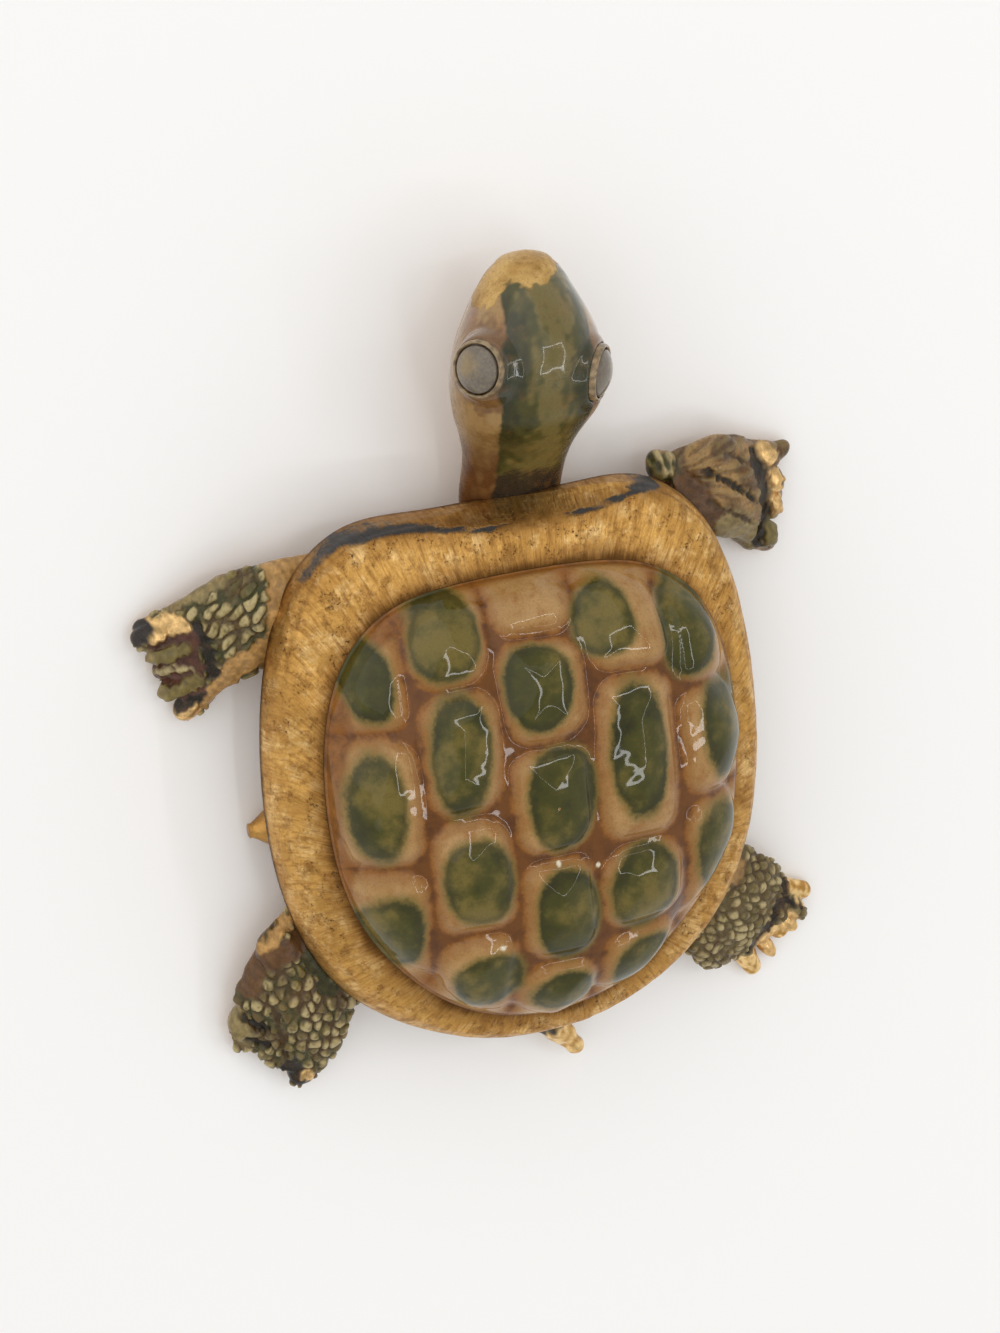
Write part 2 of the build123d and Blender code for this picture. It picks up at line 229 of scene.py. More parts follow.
# Head surface raised round the eyes: its level under the bezel's face, how far out it fades away, and how
# deep it is sunk under the bezel
MOUND_LEVEL = 0.38
MOUND_START = 1.75
MOUND_END = 2.4
MOUND_SUNK = 0.4

# Where each leg leaves the frame, how it runs and bows, which way it faces, and how long its claws are
LEGS = table(
    "name root_across root_along bearing reach bow root_face toe_face claw kind",
    ("leg_front_left", -0.72, 0.72, 202.5, 0.97, -0.11, 170, 200, 0.55, "front"),
    ("leg_front_right", 0.76, 0.84, -15, 0.75, 0.12, 8, -14, 0.6, "front"),
    ("leg_hind_left", -0.75, -0.51, 250, 1, -0.12, 222, 238, 0.45, "hind"),
    ("leg_hind_right", 0.75, -0.53, -43, 0.88, -0.12, -33, -40, 1, "hind"),
)
SECTION = "along width depth lift"
LEG_SECTIONS = {
    "front": table(
        SECTION,
        (0, 0.86, 0.8, 1), (0.25, 0.88, 0.92, 1), (0.5, 0.96, 1, 0.86), (0.75, 0.94, 1, 0.6),
        (0.9, 0.98, 0.92, 0.38), (1, 0.86, 0.62, 0.32),
    ),
    "hind": table(
        SECTION,
        (0, 1, 0.8, 1), (0.25, 1.12, 0.92, 1), (0.45, 1.14, 1, 0.88), (0.64, 1.16, 1, 0.66),
        (0.84, 0.86, 0.92, 0.39), (1, 0.46, 0.6, 0.34),
    ),
}
LEG_VOXEL = 0.085
LEG_SMOOTHING = 4

# Colours of the legs, linear
SCALE_LIGHT = (0.46, 0.37, 0.18)
SCALE_OLIVE = (0.185, 0.145, 0.045)
LEG_GREEN = (0.040, 0.042, 0.011)
LEG_BLACK = (0.016, 0.014, 0.009)
LEG_BROWN = (0.070, 0.040, 0.014)
LEG_RED = (0.115, 0.056, 0.021)
SKIN_TAN = (0.47, 0.27, 0.092)
SKIN_BROWN = (0.36, 0.215, 0.080)
SKIN_OLIVE = (0.25, 0.19, 0.078)
HIDE_OLIVE = (0.110, 0.080, 0.027)
TOE_PURPLE = (0.085, 0.034, 0.022)
PALE_GOLD = (0.80, 0.53, 0.23)
DARK_GREY = (0.035, 0.032, 0.03)

# Depth of the skin folds, how many there would be all round, and where they fan out from, about a leg's root
FOLD_DEPTH = 0.06
FOLDS_AROUND = (38, 61)
FOLD_CENTRE = (-1.4, 1.6)

# How far the rows of scales turn off a leg's bearing, and how closely they are packed
SCALE_TURN = 18.0
SCALE_PACKING = 0.88

# How metallic the eyes' collars are, and how glossy collars, legs and tail are
COLLAR_METAL = 0.2
COLLAR_GLOSS = 0.75
LEG_GLOSS = 0.45
TAIL_GLOSS = 0.2

# How each leg is finished: spacing and height of its scales, how much longer they are than wide, its
# ground colour and that of its shaded patches, how deeply it is folded, and whether its claws are bare gold
LEG_FINISH = table(
    "spacing relief stretch ground shade folds bare_claws seed",
    (0.62, 0.25, 1.8, LEG_GREEN, LEG_BROWN, 0, 0, 1),
    (0.8, 0.12, 1.8, SKIN_BROWN, LEG_RED, FOLD_DEPTH, 0, 2),
    (0.66, 0.27, 1.25, LEG_BROWN, LEG_GREEN, 0, 0, 3),
    (0.57, 0.24, 1.45, HIDE_OLIVE, LEG_BROWN, 0, 1, 4),
)

# Painted and cast marks on the legs, drawn one over the other: a line of places in millimetres, how far
# the mark reaches from it, its height, its colour, and the share of it that is bare metal
MARK = "line reach height colour metal"
# The black marks sunk into the legs' creases are painted shade
LEG_MARKS = {
    "leg_front_left": table(
        MARK,
        (((-12, 9.4), (-12.4, 5)), 1.7, 0, SKIN_TAN),
        (((-13.2, 4.8), (-15.8, 3.6), (-17.3, 1.4)), 0.85, 0.05, SKIN_TAN),
        (((-16.4, 8.9), (-19, 7.7)), 0.55, 0.05, SKIN_OLIVE),
        (((-17.9, 6.2), (-17.2, 3)), 0.42, -0.16, LEG_BLACK),
        (((-19.4, 5.2), (-19, 2)), 1.45, -0.08, TOE_PURPLE),
        (((-18.7, 4.9), (-20.7, 4.5)), 0.4, 0.2, SCALE_OLIVE),
        (((-18.4, 3.7), (-20.3, 3.3)), 0.2, 0.12, SCALE_LIGHT),
        (((-18.2, 2.7), (-20.2, 2.1)), 0.52, 0.22, SCALE_OLIVE),
        (((-20.9, 4.9), (-20.2, 1.6)), 0.28, 0.05, SKIN_OLIVE),
        (((-18.9, 6.4), (-20.4, 6.1)), 0.6, 0.1, PALE_GOLD, 1),
        (((-20.9, 6.2), (-21.6, 5.9)), 0.62, 0, DARK_GREY, 0.3),
        (((-18, 1.4), (-19.6, 0.9)), 0.4, -0.1, LEG_BLACK),
        (((-18.3, 0.7), (-19.1, 0.3)), 0.45, 0.08, PALE_GOLD, 1),
    ),
    "leg_front_right": table(
        MARK,
        (((12.9, 9.6), (14.2, 7.6), (15.6, 6)), 1.15, -0.08, LEG_RED),
        (((16, 6.4), (17.6, 5.2)), 1.2, 0, SKIN_OLIVE),
        (((14.4, 10.5), (15.9, 9.6), (17.1, 8.6), (18.2, 7.4)), 0.16, -0.22, LEG_BLACK),
        (((14.6, 8.4), (16.2, 7.4), (17.6, 6.4)), 0.12, -0.14, LEG_BROWN),
        (((15.2, 11.6), (17, 10.6), (18.4, 9.4)), 0.12, -0.12, LEG_BROWN),
        (((18.2, 10.6), (18.8, 8.2), (18.9, 6), (18.4, 4.4)), 0.42, -0.14, LEG_BLACK),
        (((18.9, 10.6), (19.6, 9.9)), 0.45, 0.14, PALE_GOLD, 0.9),
        (((19.7, 8.8), (20, 8)), 0.42, 0.14, PALE_GOLD, 0.9),
        (((19.8, 7.2), (19.9, 6.6)), 0.36, 0.12, PALE_GOLD, 0.9),
        (((19.4, 5.6), (19.2, 4.8)), 0.5, 0.12, SCALE_OLIVE),
        (((12.1, 10.9), (11.3, 11.2)), 0.85, 0, LEG_GREEN),
        (((12.3, 10.6), (12.4, 11.9)), 0.14, 0.15, SCALE_LIGHT),
        (((12, 10.5), (11.7, 11.8)), 0.14, 0.15, SCALE_LIGHT),
        (((11.7, 10.4), (11.1, 11.4)), 0.14, 0.15, SCALE_OLIVE),
    ),
    "leg_hind_left": table(
        MARK,
        (((-16.3, -15.3), (-16.9, -17.2)), 0.6, 0, LEG_RED),
        (((-15.8, -15.1), (-13.6, -14.4)), 0.75, 0, LEG_RED),
        (((-14.2, -13), (-15.9, -14.5)), 0.32, 0.05, SKIN_TAN, 0.4),
        (((-13.2, -15.4), (-12.2, -17.8)), 0.55, 0, LEG_GREEN),
        (((-17.9, -18.8), (-17.2, -20.9)), 0.6, 0.06, SKIN_OLIVE),
        (((-17.3, -19.3), (-16.2, -20.1)), 0.24, -0.2, LEG_BLACK),
        (((-17.2, -20.8), (-16.2, -21.5)), 0.2, -0.16, LEG_BLACK),
        (((-15.6, -18.7), (-14.8, -22.9)), 0.22, -0.1, LEG_BROWN),
        (((-14.7, -23.1), (-13.6, -24.6)), 0.55, 0, LEG_BLACK),
        (((-13.7, -24), (-13.3, -24.3)), 0.32, 0.08, PALE_GOLD, 1),
    ),
    "leg_hind_right": table(
        MARK,
        (((12.4, -12.4), (14.6, -15.6)), 0.9, 0, SKIN_BROWN),
        (((18.9, -18.2), (17.9, -19.8), (17.2, -20.9), (16.2, -22)), 0.36, -0.12, LEG_BLACK),
        (((19, -20.7), (19.7, -21.5)), 0.62, 0, PALE_GOLD, 1),
        (((17.3, -21.8), (18, -23)), 0.62, 0, PALE_GOLD, 1),
        (((18.6, -19), (19.9, -19.9)), 0.34, -0.06, LEG_BLACK, 0.2),
    ),
}

# Rounded lumps that fill out the legs: middle, half sizes, and heading of the first of them
LUMP = "x y z long wide high heading"
LEG_LUMPS = {
    "leg_front_left": table(
        LUMP,
        (-20.1, 5.6, 1.3, 1.5, 0.95, 0.95, 170), (-19.6, 4.6, 1.6, 1.4, 0.55, 0.75, 188),
        (-19.2, 2.5, 1.5, 1.3, 0.65, 0.75, 200), (-18.4, 1, 1, 1.1, 0.75, 0.85, 215),
        (-13.4, 6.9, 3, 2.6, 2.5, 1.45, 170),
    ),
    "leg_front_right": table(
        LUMP,
        (12.1, 10.8, 2.7, 1.25, 0.95, 1, 120), (14.6, 10.8, 2.9, 2.4, 1.2, 1.2, 25),
        (19.1, 10.1, 1.4, 1.1, 0.8, 0.95, 20), (19.7, 8.3, 1.2, 0.9, 0.85, 0.85, 0),
        (19.6, 6.7, 1.2, 0.9, 0.8, 0.85, 0), (18.9, 5, 1.2, 1.1, 0.9, 0.9, -30),
    ),
    "leg_hind_left": table(
        LUMP,
        (-14.7, -15, 2.9, 1.8, 1.6, 1.2, 225), (-17, -19.8, 1.4, 1.3, 1.1, 1.05, 250),
        (-13.7, -23.8, 1, 1.1, 0.9, 0.9, 250),
    ),
    "leg_hind_right": table(
        LUMP,
        (13.8, -14.2, 2.7, 2.6, 1.8, 1.3, -50), (19.4, -19.9, 0.95, 1.35, 0.75, 0.75, -50),
        (19.2, -21.1, 0.75, 0.9, 0.5, 0.55, -50), (17.5, -22.2, 0.75, 1.3, 0.5, 0.55, -58),
    ),
}

# Camera at the photograph's angle
CAMERA_AZIMUTH = -139.0
CAMERA_ELEVATION = 62.7
CAMERA_ROLL = 131.03
CAMERA_DISTANCE = 300.0
CAMERA_TARGET = (SHELL_X, SHELL_Y, 5.0)
PHOTO_WIDTH = 1000
PHOTO_HEIGHT = 1333
TARGET_PIXEL = (516.63, 771.63)
FOCAL_PIXELS = 4950.0
SENSOR = 36.0
CAMERA_NEAR = 10.0
CAMERA_FAR = 5000.0

# Square ring lamp over the brooch, a wide soft light, and surroundings that dim towards the top
LAMP_DIRECTION = (0.34, 0.0, 0.93)
LAMP_DISTANCE = 260.0
LAMP_HALF_SIZE = 86.0
LAMP_BAR = 7.0
LAMP_POWER = 0.043
SOFT_DIRECTION = (-0.55, 0.5, 0.8)
SOFT_DISTANCE = 520.0
SOFT_SIZE = 900.0
SOFT_POWER = 1.5
WORLD_COLOUR = (1.0, 0.98, 0.95, 1.0)
WORLD_HIGH = 0.41
WORLD_LOW = 0.98
FLOOR_COLOUR = (0.97, 0.97, 0.97, 1.0)
FLOOR_HALF = 2000.0

# Colours, linear
CREAM = (0.43, 0.255, 0.100)
TAN = (0.29, 0.130, 0.030)
TAN_LIGHT = (0.35, 0.190, 0.058)
RUST = (0.24, 0.086, 0.011)
RUST_DARK = (0.085, 0.029, 0.006)
GREEN = (0.052, 0.053, 0.006)
GREEN_DARK = (0.018, 0.021, 0.004)
OLIVE = (0.155, 0.118, 0.024)
GOLD = (0.70, 0.405, 0.115)
GOLD_LIGHT = (0.93, 0.66, 0.30)
GOLD_DEEP = (0.50, 0.27, 0.07)
GOLD_BROWN = (0.28, 0.13, 0.035)
PATINA = (0.10, 0.045, 0.012)
PINHOLE_GLINT = (0.75, 0.68, 0.52)
STONE_DARK = (0.132, 0.111, 0.088)
STONE_GREY = (0.190, 0.156, 0.112)
STONE_YELLOW = (0.32, 0.22, 0.085)
HEAD_OLIVE = (0.15, 0.118, 0.034)
HEAD_GREEN = (0.058, 0.058, 0.013)
HEAD_DARK = (0.028, 0.030, 0.008)
HEAD_SAND = (0.17, 0.12, 0.035)
NECK_SHADOW = (0.020, 0.018, 0.016)
CHEEK_TAN = (0.33, 0.20, 0.074)
CHEEK_BROWN = (0.21, 0.115, 0.037)
NECK_SHADE = (0.11, 0.044, 0.015)
SNOUT_BROWN = (0.24, 0.11, 0.045)
SOCKET_SHADE_BROWN = (0.13, 0.056, 0.018)
SOCKET_SHADE_GREEN = (0.018, 0.024, 0.012)
NOSE_GOLD = (0.64, 0.42, 0.16)
NOSE_BROWN = (0.40, 0.23, 0.07)
COLLAR_GOLD = (0.32, 0.23, 0.125)
TAIL_DARK = (0.04, 0.03, 0.012)


def smoothstep(low, high, value):
    """0 at low, 1 at high and smooth between them."""
    share = np.clip((np.asarray(value, float) - low) / (high - low), 0, 1)
    return share * share * (3 - 2 * share)


def blend(first, second, share):
    """Colours from first to second by a share for each point."""
    share = np.asarray(share, float)[:, None]
    return np.asarray(first) * (1 - share) + np.asarray(second) * share


def laid(base, *layers):
    """Base colours under others, each at a share of its full strength as a value goes from low to high."""
    for colour, value, low, high, share in layers:
        base = blend(base, colour, share * smoothstep(low, high, value))
    return base


def columns(rows, at, *names):
    """Smooth curves through the named columns of a table, read at places in its first column."""
    stations = np.array([row[0] for row in rows], float)
    at = np.clip(at, stations[0], stations[-1])
    index = np.clip(np.searchsorted(stations, at) - 1, 0, len(stations) - 2)
    span = stations[index + 1] - stations[index]
    t = (at - stations[index]) / span
    curves = []
    for name in names:
        values = np.array([getattr(row, name) for row in rows], float)
        slopes = np.gradient(values, stations)
        start = (1 + 2 * t) * (1 - t) ** 2 * values[index] + t * (1 - t) ** 2 * span * slopes[index]
        end = t * t * (3 - 2 * t) * values[index + 1] + t * t * (t - 1) * span * slopes[index + 1]
        curves.append(start + end)
    return curves


def wobble(points, size, seed, waves=14):
    """Smooth random field of about -1 to 1 with features of the given size."""
    random = np.random.default_rng(seed)
    heading = random.normal(size=(waves, 3))
    heading /= np.linalg.norm(heading, axis=1)[:, None]
    pace = 2 * math.pi / size * random.uniform(0.6, 1.5, waves)
    phase = random.uniform(0, 2 * math.pi, waves)
    return np.sin((points @ heading.T) * pace + phase).sum(1) / math.sqrt(waves)


def direction(turn, rise=0.0):
    """Unit vector at a turn from +X in the resting plane and a rise above that plane."""
    turn, rise = math.radians(turn), math.radians(rise)
    return np.array([math.cos(turn) * math.cos(rise), math.sin(turn) * math.cos(rise), math.sin(rise)])


def run_along(points):
    """Distance run from the first row of points to each row."""
    steps = np.linalg.norm(np.diff(points, axis=0), axis=-1)
    return np.concatenate([np.zeros_like(steps[:1]), np.cumsum(steps, axis=0)])


def resampled(line, count, endpoint=True):
    """Line of points in a plane as count points evenly spaced along it."""
    run = run_along(line)
    even = np.linspace(0, run[-1], count, endpoint=endpoint)
    return np.stack([np.interp(even, run, line[:, k]) for k in (0, 1)], axis=1)


def closed_spline(points, count):
    """Smooth closed curve through the points, as count points evenly spaced along it."""
    points = np.array(points, float)
    after = np.roll(points, -1, axis=0)
    step = np.linalg.norm(after - points, axis=1)
    matrix = np.diag(2 * (np.roll(step, 1) + step))
    for i in range(len(points)):
        matrix[i - 1, i] = matrix[i, i - 1] = step[i - 1]
    rise = (after - points) / step[:, None]
    bend = np.linalg.solve(matrix, 6 * (rise - np.roll(rise, 1, axis=0)))
    t = np.linspace(0, 1, 60, endpoint=False)[:, None, None]
    sag = ((1 - t) ** 3 - (1 - t)) * bend + (t**3 - t) * np.roll(bend, -1, axis=0)
    fine = points * (1 - t) + after * t + step[:, None] ** 2 / 6 * sag
    fine = fine.transpose(1, 0, 2).reshape(-1, 2)
    return resampled(np.vstack([fine, fine[:1]]), count, endpoint=False)


def outline(side, front, count, grow=0.0):
    """Closed outline about the shell's centre, at shares of the way from frame to shell."""
    right = []
    for row in OUTLINE:
        rim_y = row.rim_along * (RIM_FRONT if row.rim_along > 0 else RIM_BACK)
        dome_y = row.dome_along * (DOME_FRONT if row.dome_along > 0 else DOME_BACK)
        inset = side + (front - side) * max(0, row.rim_along) ** 2
        rim_x = row.rim_across * RIM_HALF_WIDTH
        x = rim_x + (row.dome_across * DOME_HALF_WIDTH - rim_x) * inset
        y = rim_y + (dome_y - rim_y) * inset
        right.append((x * (1 + grow / DOME_HALF_WIDTH), y * (1 + grow / DOME_FRONT)))
    left = [(-x, y) for x, y in right]
    return closed_spline(left + right[-2:0:-1], count)


def level(curve, height):
    """Curve in plan as a ring at a height."""
    return np.column_stack([curve, np.full(len(curve), height)])


def ellipse(middle, across, upward, count):
    """Ring about a middle, with its half axes as vectors."""
    turn = np.linspace(0, 2 * math.pi, count, endpoint=False)[:, None]
    return middle + np.cos(turn) * across + np.sin(turn) * upward


def skin(rings, loop=False):
    """Vertices and faces of the closed surface through rings of points."""
    rings = np.asarray(rings, float)
    rows, count = rings.shape[:2]
    index = np.arange(rows * count).reshape(rows, count)
    below = index if loop else index[:-1]
    above = np.roll(index, -1, axis=0) if loop else index[1:]
    quads = np.stack([below, np.roll(below, -1, 1), np.roll(above, -1, 1), above], axis=-1)
    faces = quads.reshape(-1, 4).tolist()
    vertices = rings.reshape(-1, 3)
    if not loop:
        start = rows * count
        vertices = np.vstack([vertices, rings[0].mean(0), rings[-1].mean(0)])
        for j in range(count):
            after = (j + 1) % count
            faces.append([start, index[0, after], index[0, j]])
            faces.append([start + 1, index[-1, j], index[-1, after]])
    return vertices, faces


def inside_out(points, polygons):
    """Whether the volume that a surface closes is below 0."""
    corners = points[[[p[0], p[k], p[k + 1]] for p in polygons for k in range(1, len(p) - 1)]]
    return (corners[:, 0] * np.cross(corners[:, 1], corners[:, 2])).sum() < 0


def mesh_of(name, surfaces):
    """Smooth mesh in metres made of surfaces, each turned outward."""
    vertices, faces, offset = [], [], 0
    for points, polygons in surfaces:
        order = -1 if inside_out(points, polygons) else 1
        vertices.append(points)
        faces += [[corner + offset for corner in polygon[::order]] for polygon in polygons]
        offset += len(points)
    mesh = bpy.data.meshes.new(name)
    mesh.from_pydata((np.vstack(vertices) * MM).tolist(), [], faces)
    mesh.polygons.foreach_set("use_smooth", [True] * len(mesh.polygons))
    mesh.update()
    return mesh


def linked(name, data):
    """New object in the scene."""
    made = bpy.data.objects.new(name, data)
    bpy.context.scene.collection.objects.link(made)
    return made


def piece(name, mesh, slot="enamelled_casting", node="body_casting"):
    """Puts a mesh into the scene in a slot's material, riding on the brooch in place of a CAD node."""
    made = linked(name, mesh)
    mesh.materials.append(MATERIALS[slot])
    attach(made, "root")
    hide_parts(node)


def points_and_normals(mesh):
    """Vertices of a mesh in millimetres, and its vertex normals."""
    flat = np.empty((2, len(mesh.vertices) * 3), np.float32)
    mesh.vertices.foreach_get("co", flat[0])
    mesh.vertex_normals.foreach_get("vector", flat[1])
    points, normals = flat.reshape(2, -1, 3).astype(float)
    return points / MM, normals


def move_points(mesh, points):
    """Puts a mesh's vertices at new places in millimetres, none of them under the resting plane."""
    points[:, 2] = np.maximum(points[:, 2], 0)
    mesh.vertices.foreach_set("co", (points * MM).astype(np.float32).ravel())
    mesh.update()


def store(mesh, **fields):
    """Keeps numbers, or colours where there are three to a point, as attributes of the mesh."""
    for name, values in fields.items():
        values = np.asarray(values, np.float32)
        if values.ndim == 1:
            mesh.attributes.new(name, "FLOAT", "POINT").data.foreach_set("value", values)
        else:
            colour = np.hstack([values, np.ones((len(values), 1), np.float32)])
            mesh.attributes.new(name, "FLOAT_COLOR", "POINT").data.foreach_set("color", colour.ravel())


class Paint:
    """Builder for the nodes of a material or a world, with one kind of place coordinates."""

    # Sockets of the Mix node for colours
    MIX_SHARE, MIX_FIRST, MIX_SECOND, MIX_RESULT = 0, 6, 7, 2

    def __init__(self, owner, place="Object"):
        owner.use_nodes = True
        self.tree = owner.node_tree
        self.place = self.node("TexCoord", {}, place)

    def connect(self, node, inputs):
        """Sets a node's inputs, or links those that come from other nodes."""
        for socket, value in inputs.items():
            if isinstance(value, bpy.types.NodeSocket):
                self.tree.links.new(value, node.inputs[socket])
            else:
                node.inputs[socket].default_value = value

    def node(self, kind, inputs, output=0, **settings):
        """One of the outputs of a new node."""
        made = self.tree.nodes.new("ShaderNode" + kind)
        for key, value in settings.items():
            setattr(made, key, value)
        self.connect(made, inputs)
        return made.outputs[output]

    def field(self, name, *noises):
        """A number kept on the mesh, moved up and down by noises."""
        value = self.node("Attribute", {}, "Fac", attribute_name=name)
        for noise, amount in noises:
            value = self.shift(value, noise, amount)
        return value

    def noise(self, size, seed, detail=3.0, roughness=0.6, place=None):
        """Noise of about 0 to 1 with features of a size in millimetres."""
        inputs = {"Vector": place or self.place, "W": float(seed), "Scale": 1 / (size * MM)}
        inputs.update({"Detail": detail, "Roughness": roughness})
        return self.node("TexNoise", inputs, noise_dimensions="4D")

    def brushed(self, along, across, vector, seed, detail, roughness):
        """Noise on coordinates that run round the band and across it, with a size each way."""
        scale = (1 / along, 1 / along, 1 / across)
        place = self.node("Mapping", {"Vector": vector, "Scale": scale})
        return self.noise(1 / MM, seed, detail, roughness, place)

    def ramp(self, value, low, high, start=0.0, end=1.0):
        """Smooth change from start at low to end at high."""
        inputs = {"Value": value, "From Min": low, "From Max": high, "To Min": start, "To Max": end}
        return self.node("MapRange", inputs, interpolation_type="SMOOTHSTEP")

    def mix(self, share, first, second):
        """Colour from first to second."""
        inputs = {self.MIX_SHARE: share}
        for socket, colour in ((self.MIX_FIRST, first), (self.MIX_SECOND, second)):
            inputs[socket] = colour if isinstance(colour, bpy.types.NodeSocket) else (*colour, 1.0)
        return self.node("Mix", inputs, self.MIX_RESULT, data_type="RGBA")

    def laid(self, base, *layers):
        """Base under other colours, each at a share of its full strength as a value goes from low to high."""
        for colour, value, low, high, share in layers:
            base = self.mix(self.ramp(value, low, high, 0.0, share), base, colour)
        return base

    def math(self, operation, first, second):
        """Arithmetic on two numbers."""
        return self.node("Math", {0: first, 1: second}, operation=operation)

    def less(self, value, share):
        """1 less a share of a value."""
        return self.math("SUBTRACT", 1.0, self.math("MULTIPLY", value, share))

    def shift(self, value, noise, amount):
        """Value moved up and down by noise."""
        centred = self.math("SUBTRACT", noise, 0.5)
        return self.math("ADD", value, self.math("MULTIPLY", centred, amount))

    def relief(self, *layers):
        """Normal bent by heights of 0 to 1, each of which stands for a depth in millimetres."""
        bent = {}
        for height, depth in layers:
            bent = {"Normal": self.node("Bump", {"Height": height, "Distance": depth * MM, **bent})}
        return bent["Normal"]


def shell_enamel(paint):
    """Glossy enamel: rust-brown in the grooves, cream scutes, and green ovals with soft edges."""
    grit = paint.noise(0.09, 5, 2.0)
    fine = paint.noise(0.28, 1, 4.0)
    soft = paint.noise(1.1, 2)
    broad = paint.noise(3.0, 3, 2.0)
    edge = paint.field("edge", (soft, 0.45), (fine, 0.35))
    rim = paint.field("rim", (soft, 0.7))
    oval = paint.field("oval", (fine, 0.4), (grit, 0.12), (soft, 0.5))
    dark = paint.field("dark", (broad, 1.9), (soft, 1.1), (fine, 0.4))
    scute = paint.laid(
        CREAM,
        (TAN_LIGHT, broad, 0.35, 0.7, 1.0),
        (TAN, soft, 0.46, 0.7, 0.8),
        (TAN, edge, -0.7, 0.1, 0.85),
    )
    rust = paint.laid(RUST, (RUST_DARK, soft, 0.4, 0.75, 1.0), (RUST_DARK, edge, 0.22, 0.5, 0.6))
    green = paint.laid(
        OLIVE,
        (GREEN, dark, 0.1, 0.7, 1.0),
        (GREEN_DARK, dark, 0.6, 1.3, 1.0),
        (GREEN_DARK, paint.shift(oval, broad, 1.4), -0.75, -0.15, 0.55),
    )
    base = paint.laid(
        scute,
        (rust, edge, -0.05, 0.38, 1.0),
        (rust, rim, 0.8, 0.1, 0.9),
        (OLIVE, oval, 0.4, -0.05, 0.8),
        (green, oval, 0.1, -0.2, 1.0),
        (RUST_DARK, grit, 0.45, 0.8, 0.4),
        (RUST, fine, 0.6, 0.85, 0.35),
    )
    # Pinholes painted pale as glints of light
    base = paint.mix(paint.field("pinhole"), base, PINHOLE_GLINT)
    ripple = paint.relief((paint.noise(1.5, 6, 1.0), 0.04))
    return {
        "Base Color": base,
        "Roughness": 0.5,
        "Normal": ripple,
        "Specular IOR Level": 0.1,
        "Coat Weight": 1.0,
        "Coat Normal": ripple,
        "Coat Roughness": 0.035,
        "Coat IOR": 1.34,
    }


def brushed_gold(paint):
    """Hairline-brushed gold: patina and painted shade by the shell and at its foot, pits, worn dark crest."""
    band = paint.node("Attribute", {}, "Vector", attribute_name="band")
    hair = paint.brushed(0.13, 2.2, band, 11, 2.0, 0.6)
    streak = paint.brushed(0.30, 1.6, band, 12, 3.0, 0.65)
    grain = paint.noise(0.16, 13, 3.0, 0.7)
    blot = paint.noise(0.7, 15, 4.0, 0.65)
    cloud = paint.noise(2.4, 14)
    bright = paint.shift(paint.noise(1.3, 16, 4.0, 0.7), hair, 0.35)
    inner = paint.field("inner", (cloud, 1.6), (hair, 0.9))
    outer = paint.field("outer", (blot, 0.9))
    crest = paint.field("crest", (blot, 0.45), (grain, 0.25))
    pits = paint.math("MULTIPLY", paint.ramp(grain, 0.56, 0.66), paint.ramp(blot, 0.48, 0.58))
    pits = paint.math("MULTIPLY", pits, paint.ramp(cloud, 0.42, 0.6, 0.15, 1.0))
    worn = paint.ramp(crest, 0.3, 0.12)
    gold = paint.laid(
        GOLD,
        (GOLD_DEEP, cloud, 0.36, 0.66, 1.0),
        (GOLD_LIGHT, bright, 0.47, 0.66, 0.85),
        (GOLD_DEEP, hair, 0.42, 0.72, 0.75),
        (GOLD_BROWN, streak, 0.45, 0.75, 0.7),
        (GOLD_BROWN, grain, 0.45, 0.75, 0.45),
        (GOLD_BROWN, blot, 0.46, 0.7, 0.75),
        # Brown patina and painted shade in the corner against the shell
        (GOLD_BROWN, inner, 1.8, 0.2, 0.9),
        (PATINA, inner, 0.9, 0.05, 0.95),
    )
    gold = paint.laid(
        paint.mix(pits, gold, DARK_GREY),
        # Patina and painted shadow along the foot of the band
        (PATINA, outer, 0.5, 0.05, 0.95),
        # Painted brown shade about the worn crest line
        (GOLD_BROWN, paint.shift(crest, cloud, 2.0), 1.3, 0.1, 0.6),
    )
    dents = paint.math("ADD", pits, paint.math("MULTIPLY", worn, 0.6))
    return {
        "Base Color": paint.mix(worn, gold, DARK_GREY),
        "Metallic": paint.less(worn, 0.7),
        "Roughness": paint.ramp(streak, 0.3, 0.7, 0.38, 0.6),
        "Normal": paint.relief((hair, 0.03), (dents, -0.06), (blot, 0.06), (cloud, 0.16)),
    }


def enamelled_casting(paint):
    """Gilt casting under enamel: the painted colours, metal where the gold is bare, and fine wear."""
    fine = paint.noise(0.16, 21, 4.0, 0.7)
    soft = paint.noise(0.9, 22)
    base = paint.node("Attribute", {}, "Color", attribute_name="paint")
    base = paint.laid(base, (RUST_DARK, fine, 0.45, 0.8, 0.55), (TAN, soft, 0.5, 0.8, 0.25))
    gloss = paint.field("gloss")
    return {
        "Base Color": base,
        "Metallic": paint.field("metal"),
        "Roughness": paint.math("MULTIPLY", paint.ramp(fine, 0.3, 0.7, 0.28, 0.45), paint.less(gloss, 0.5)),
        "Normal": paint.relief((fine, 0.012), (soft, 0.04)),
        "Specular IOR Level": 0.3,
        "Coat Weight": paint.ramp(gloss, 0.55, 0.85),
        "Coat Normal": paint.relief((paint.noise(1.1, 23, 1.0), 0.012)),
        "Coat Roughness": 0.04,
        "Coat IOR": 1.34,
    }


def eye_stone(paint):
    """Clouded grey cabochon with a yellowish middle."""
    heart = paint.field("heart", (paint.noise(0.9, 31), 0.5))
    stone = (STONE_GREY, paint.noise(0.2, 32), 0.35, 0.7, 1.0)
    base = paint.laid(STONE_DARK, stone, (STONE_YELLOW, heart, 0.85, 0.25, 1.0))
    coat = {"Coat Weight": 1.0, "Coat Roughness": 0.06, "Coat IOR": 1.36}
    return {"Base Color": base, "Roughness": 0.35, "Specular IOR Level": 0.2, **coat}


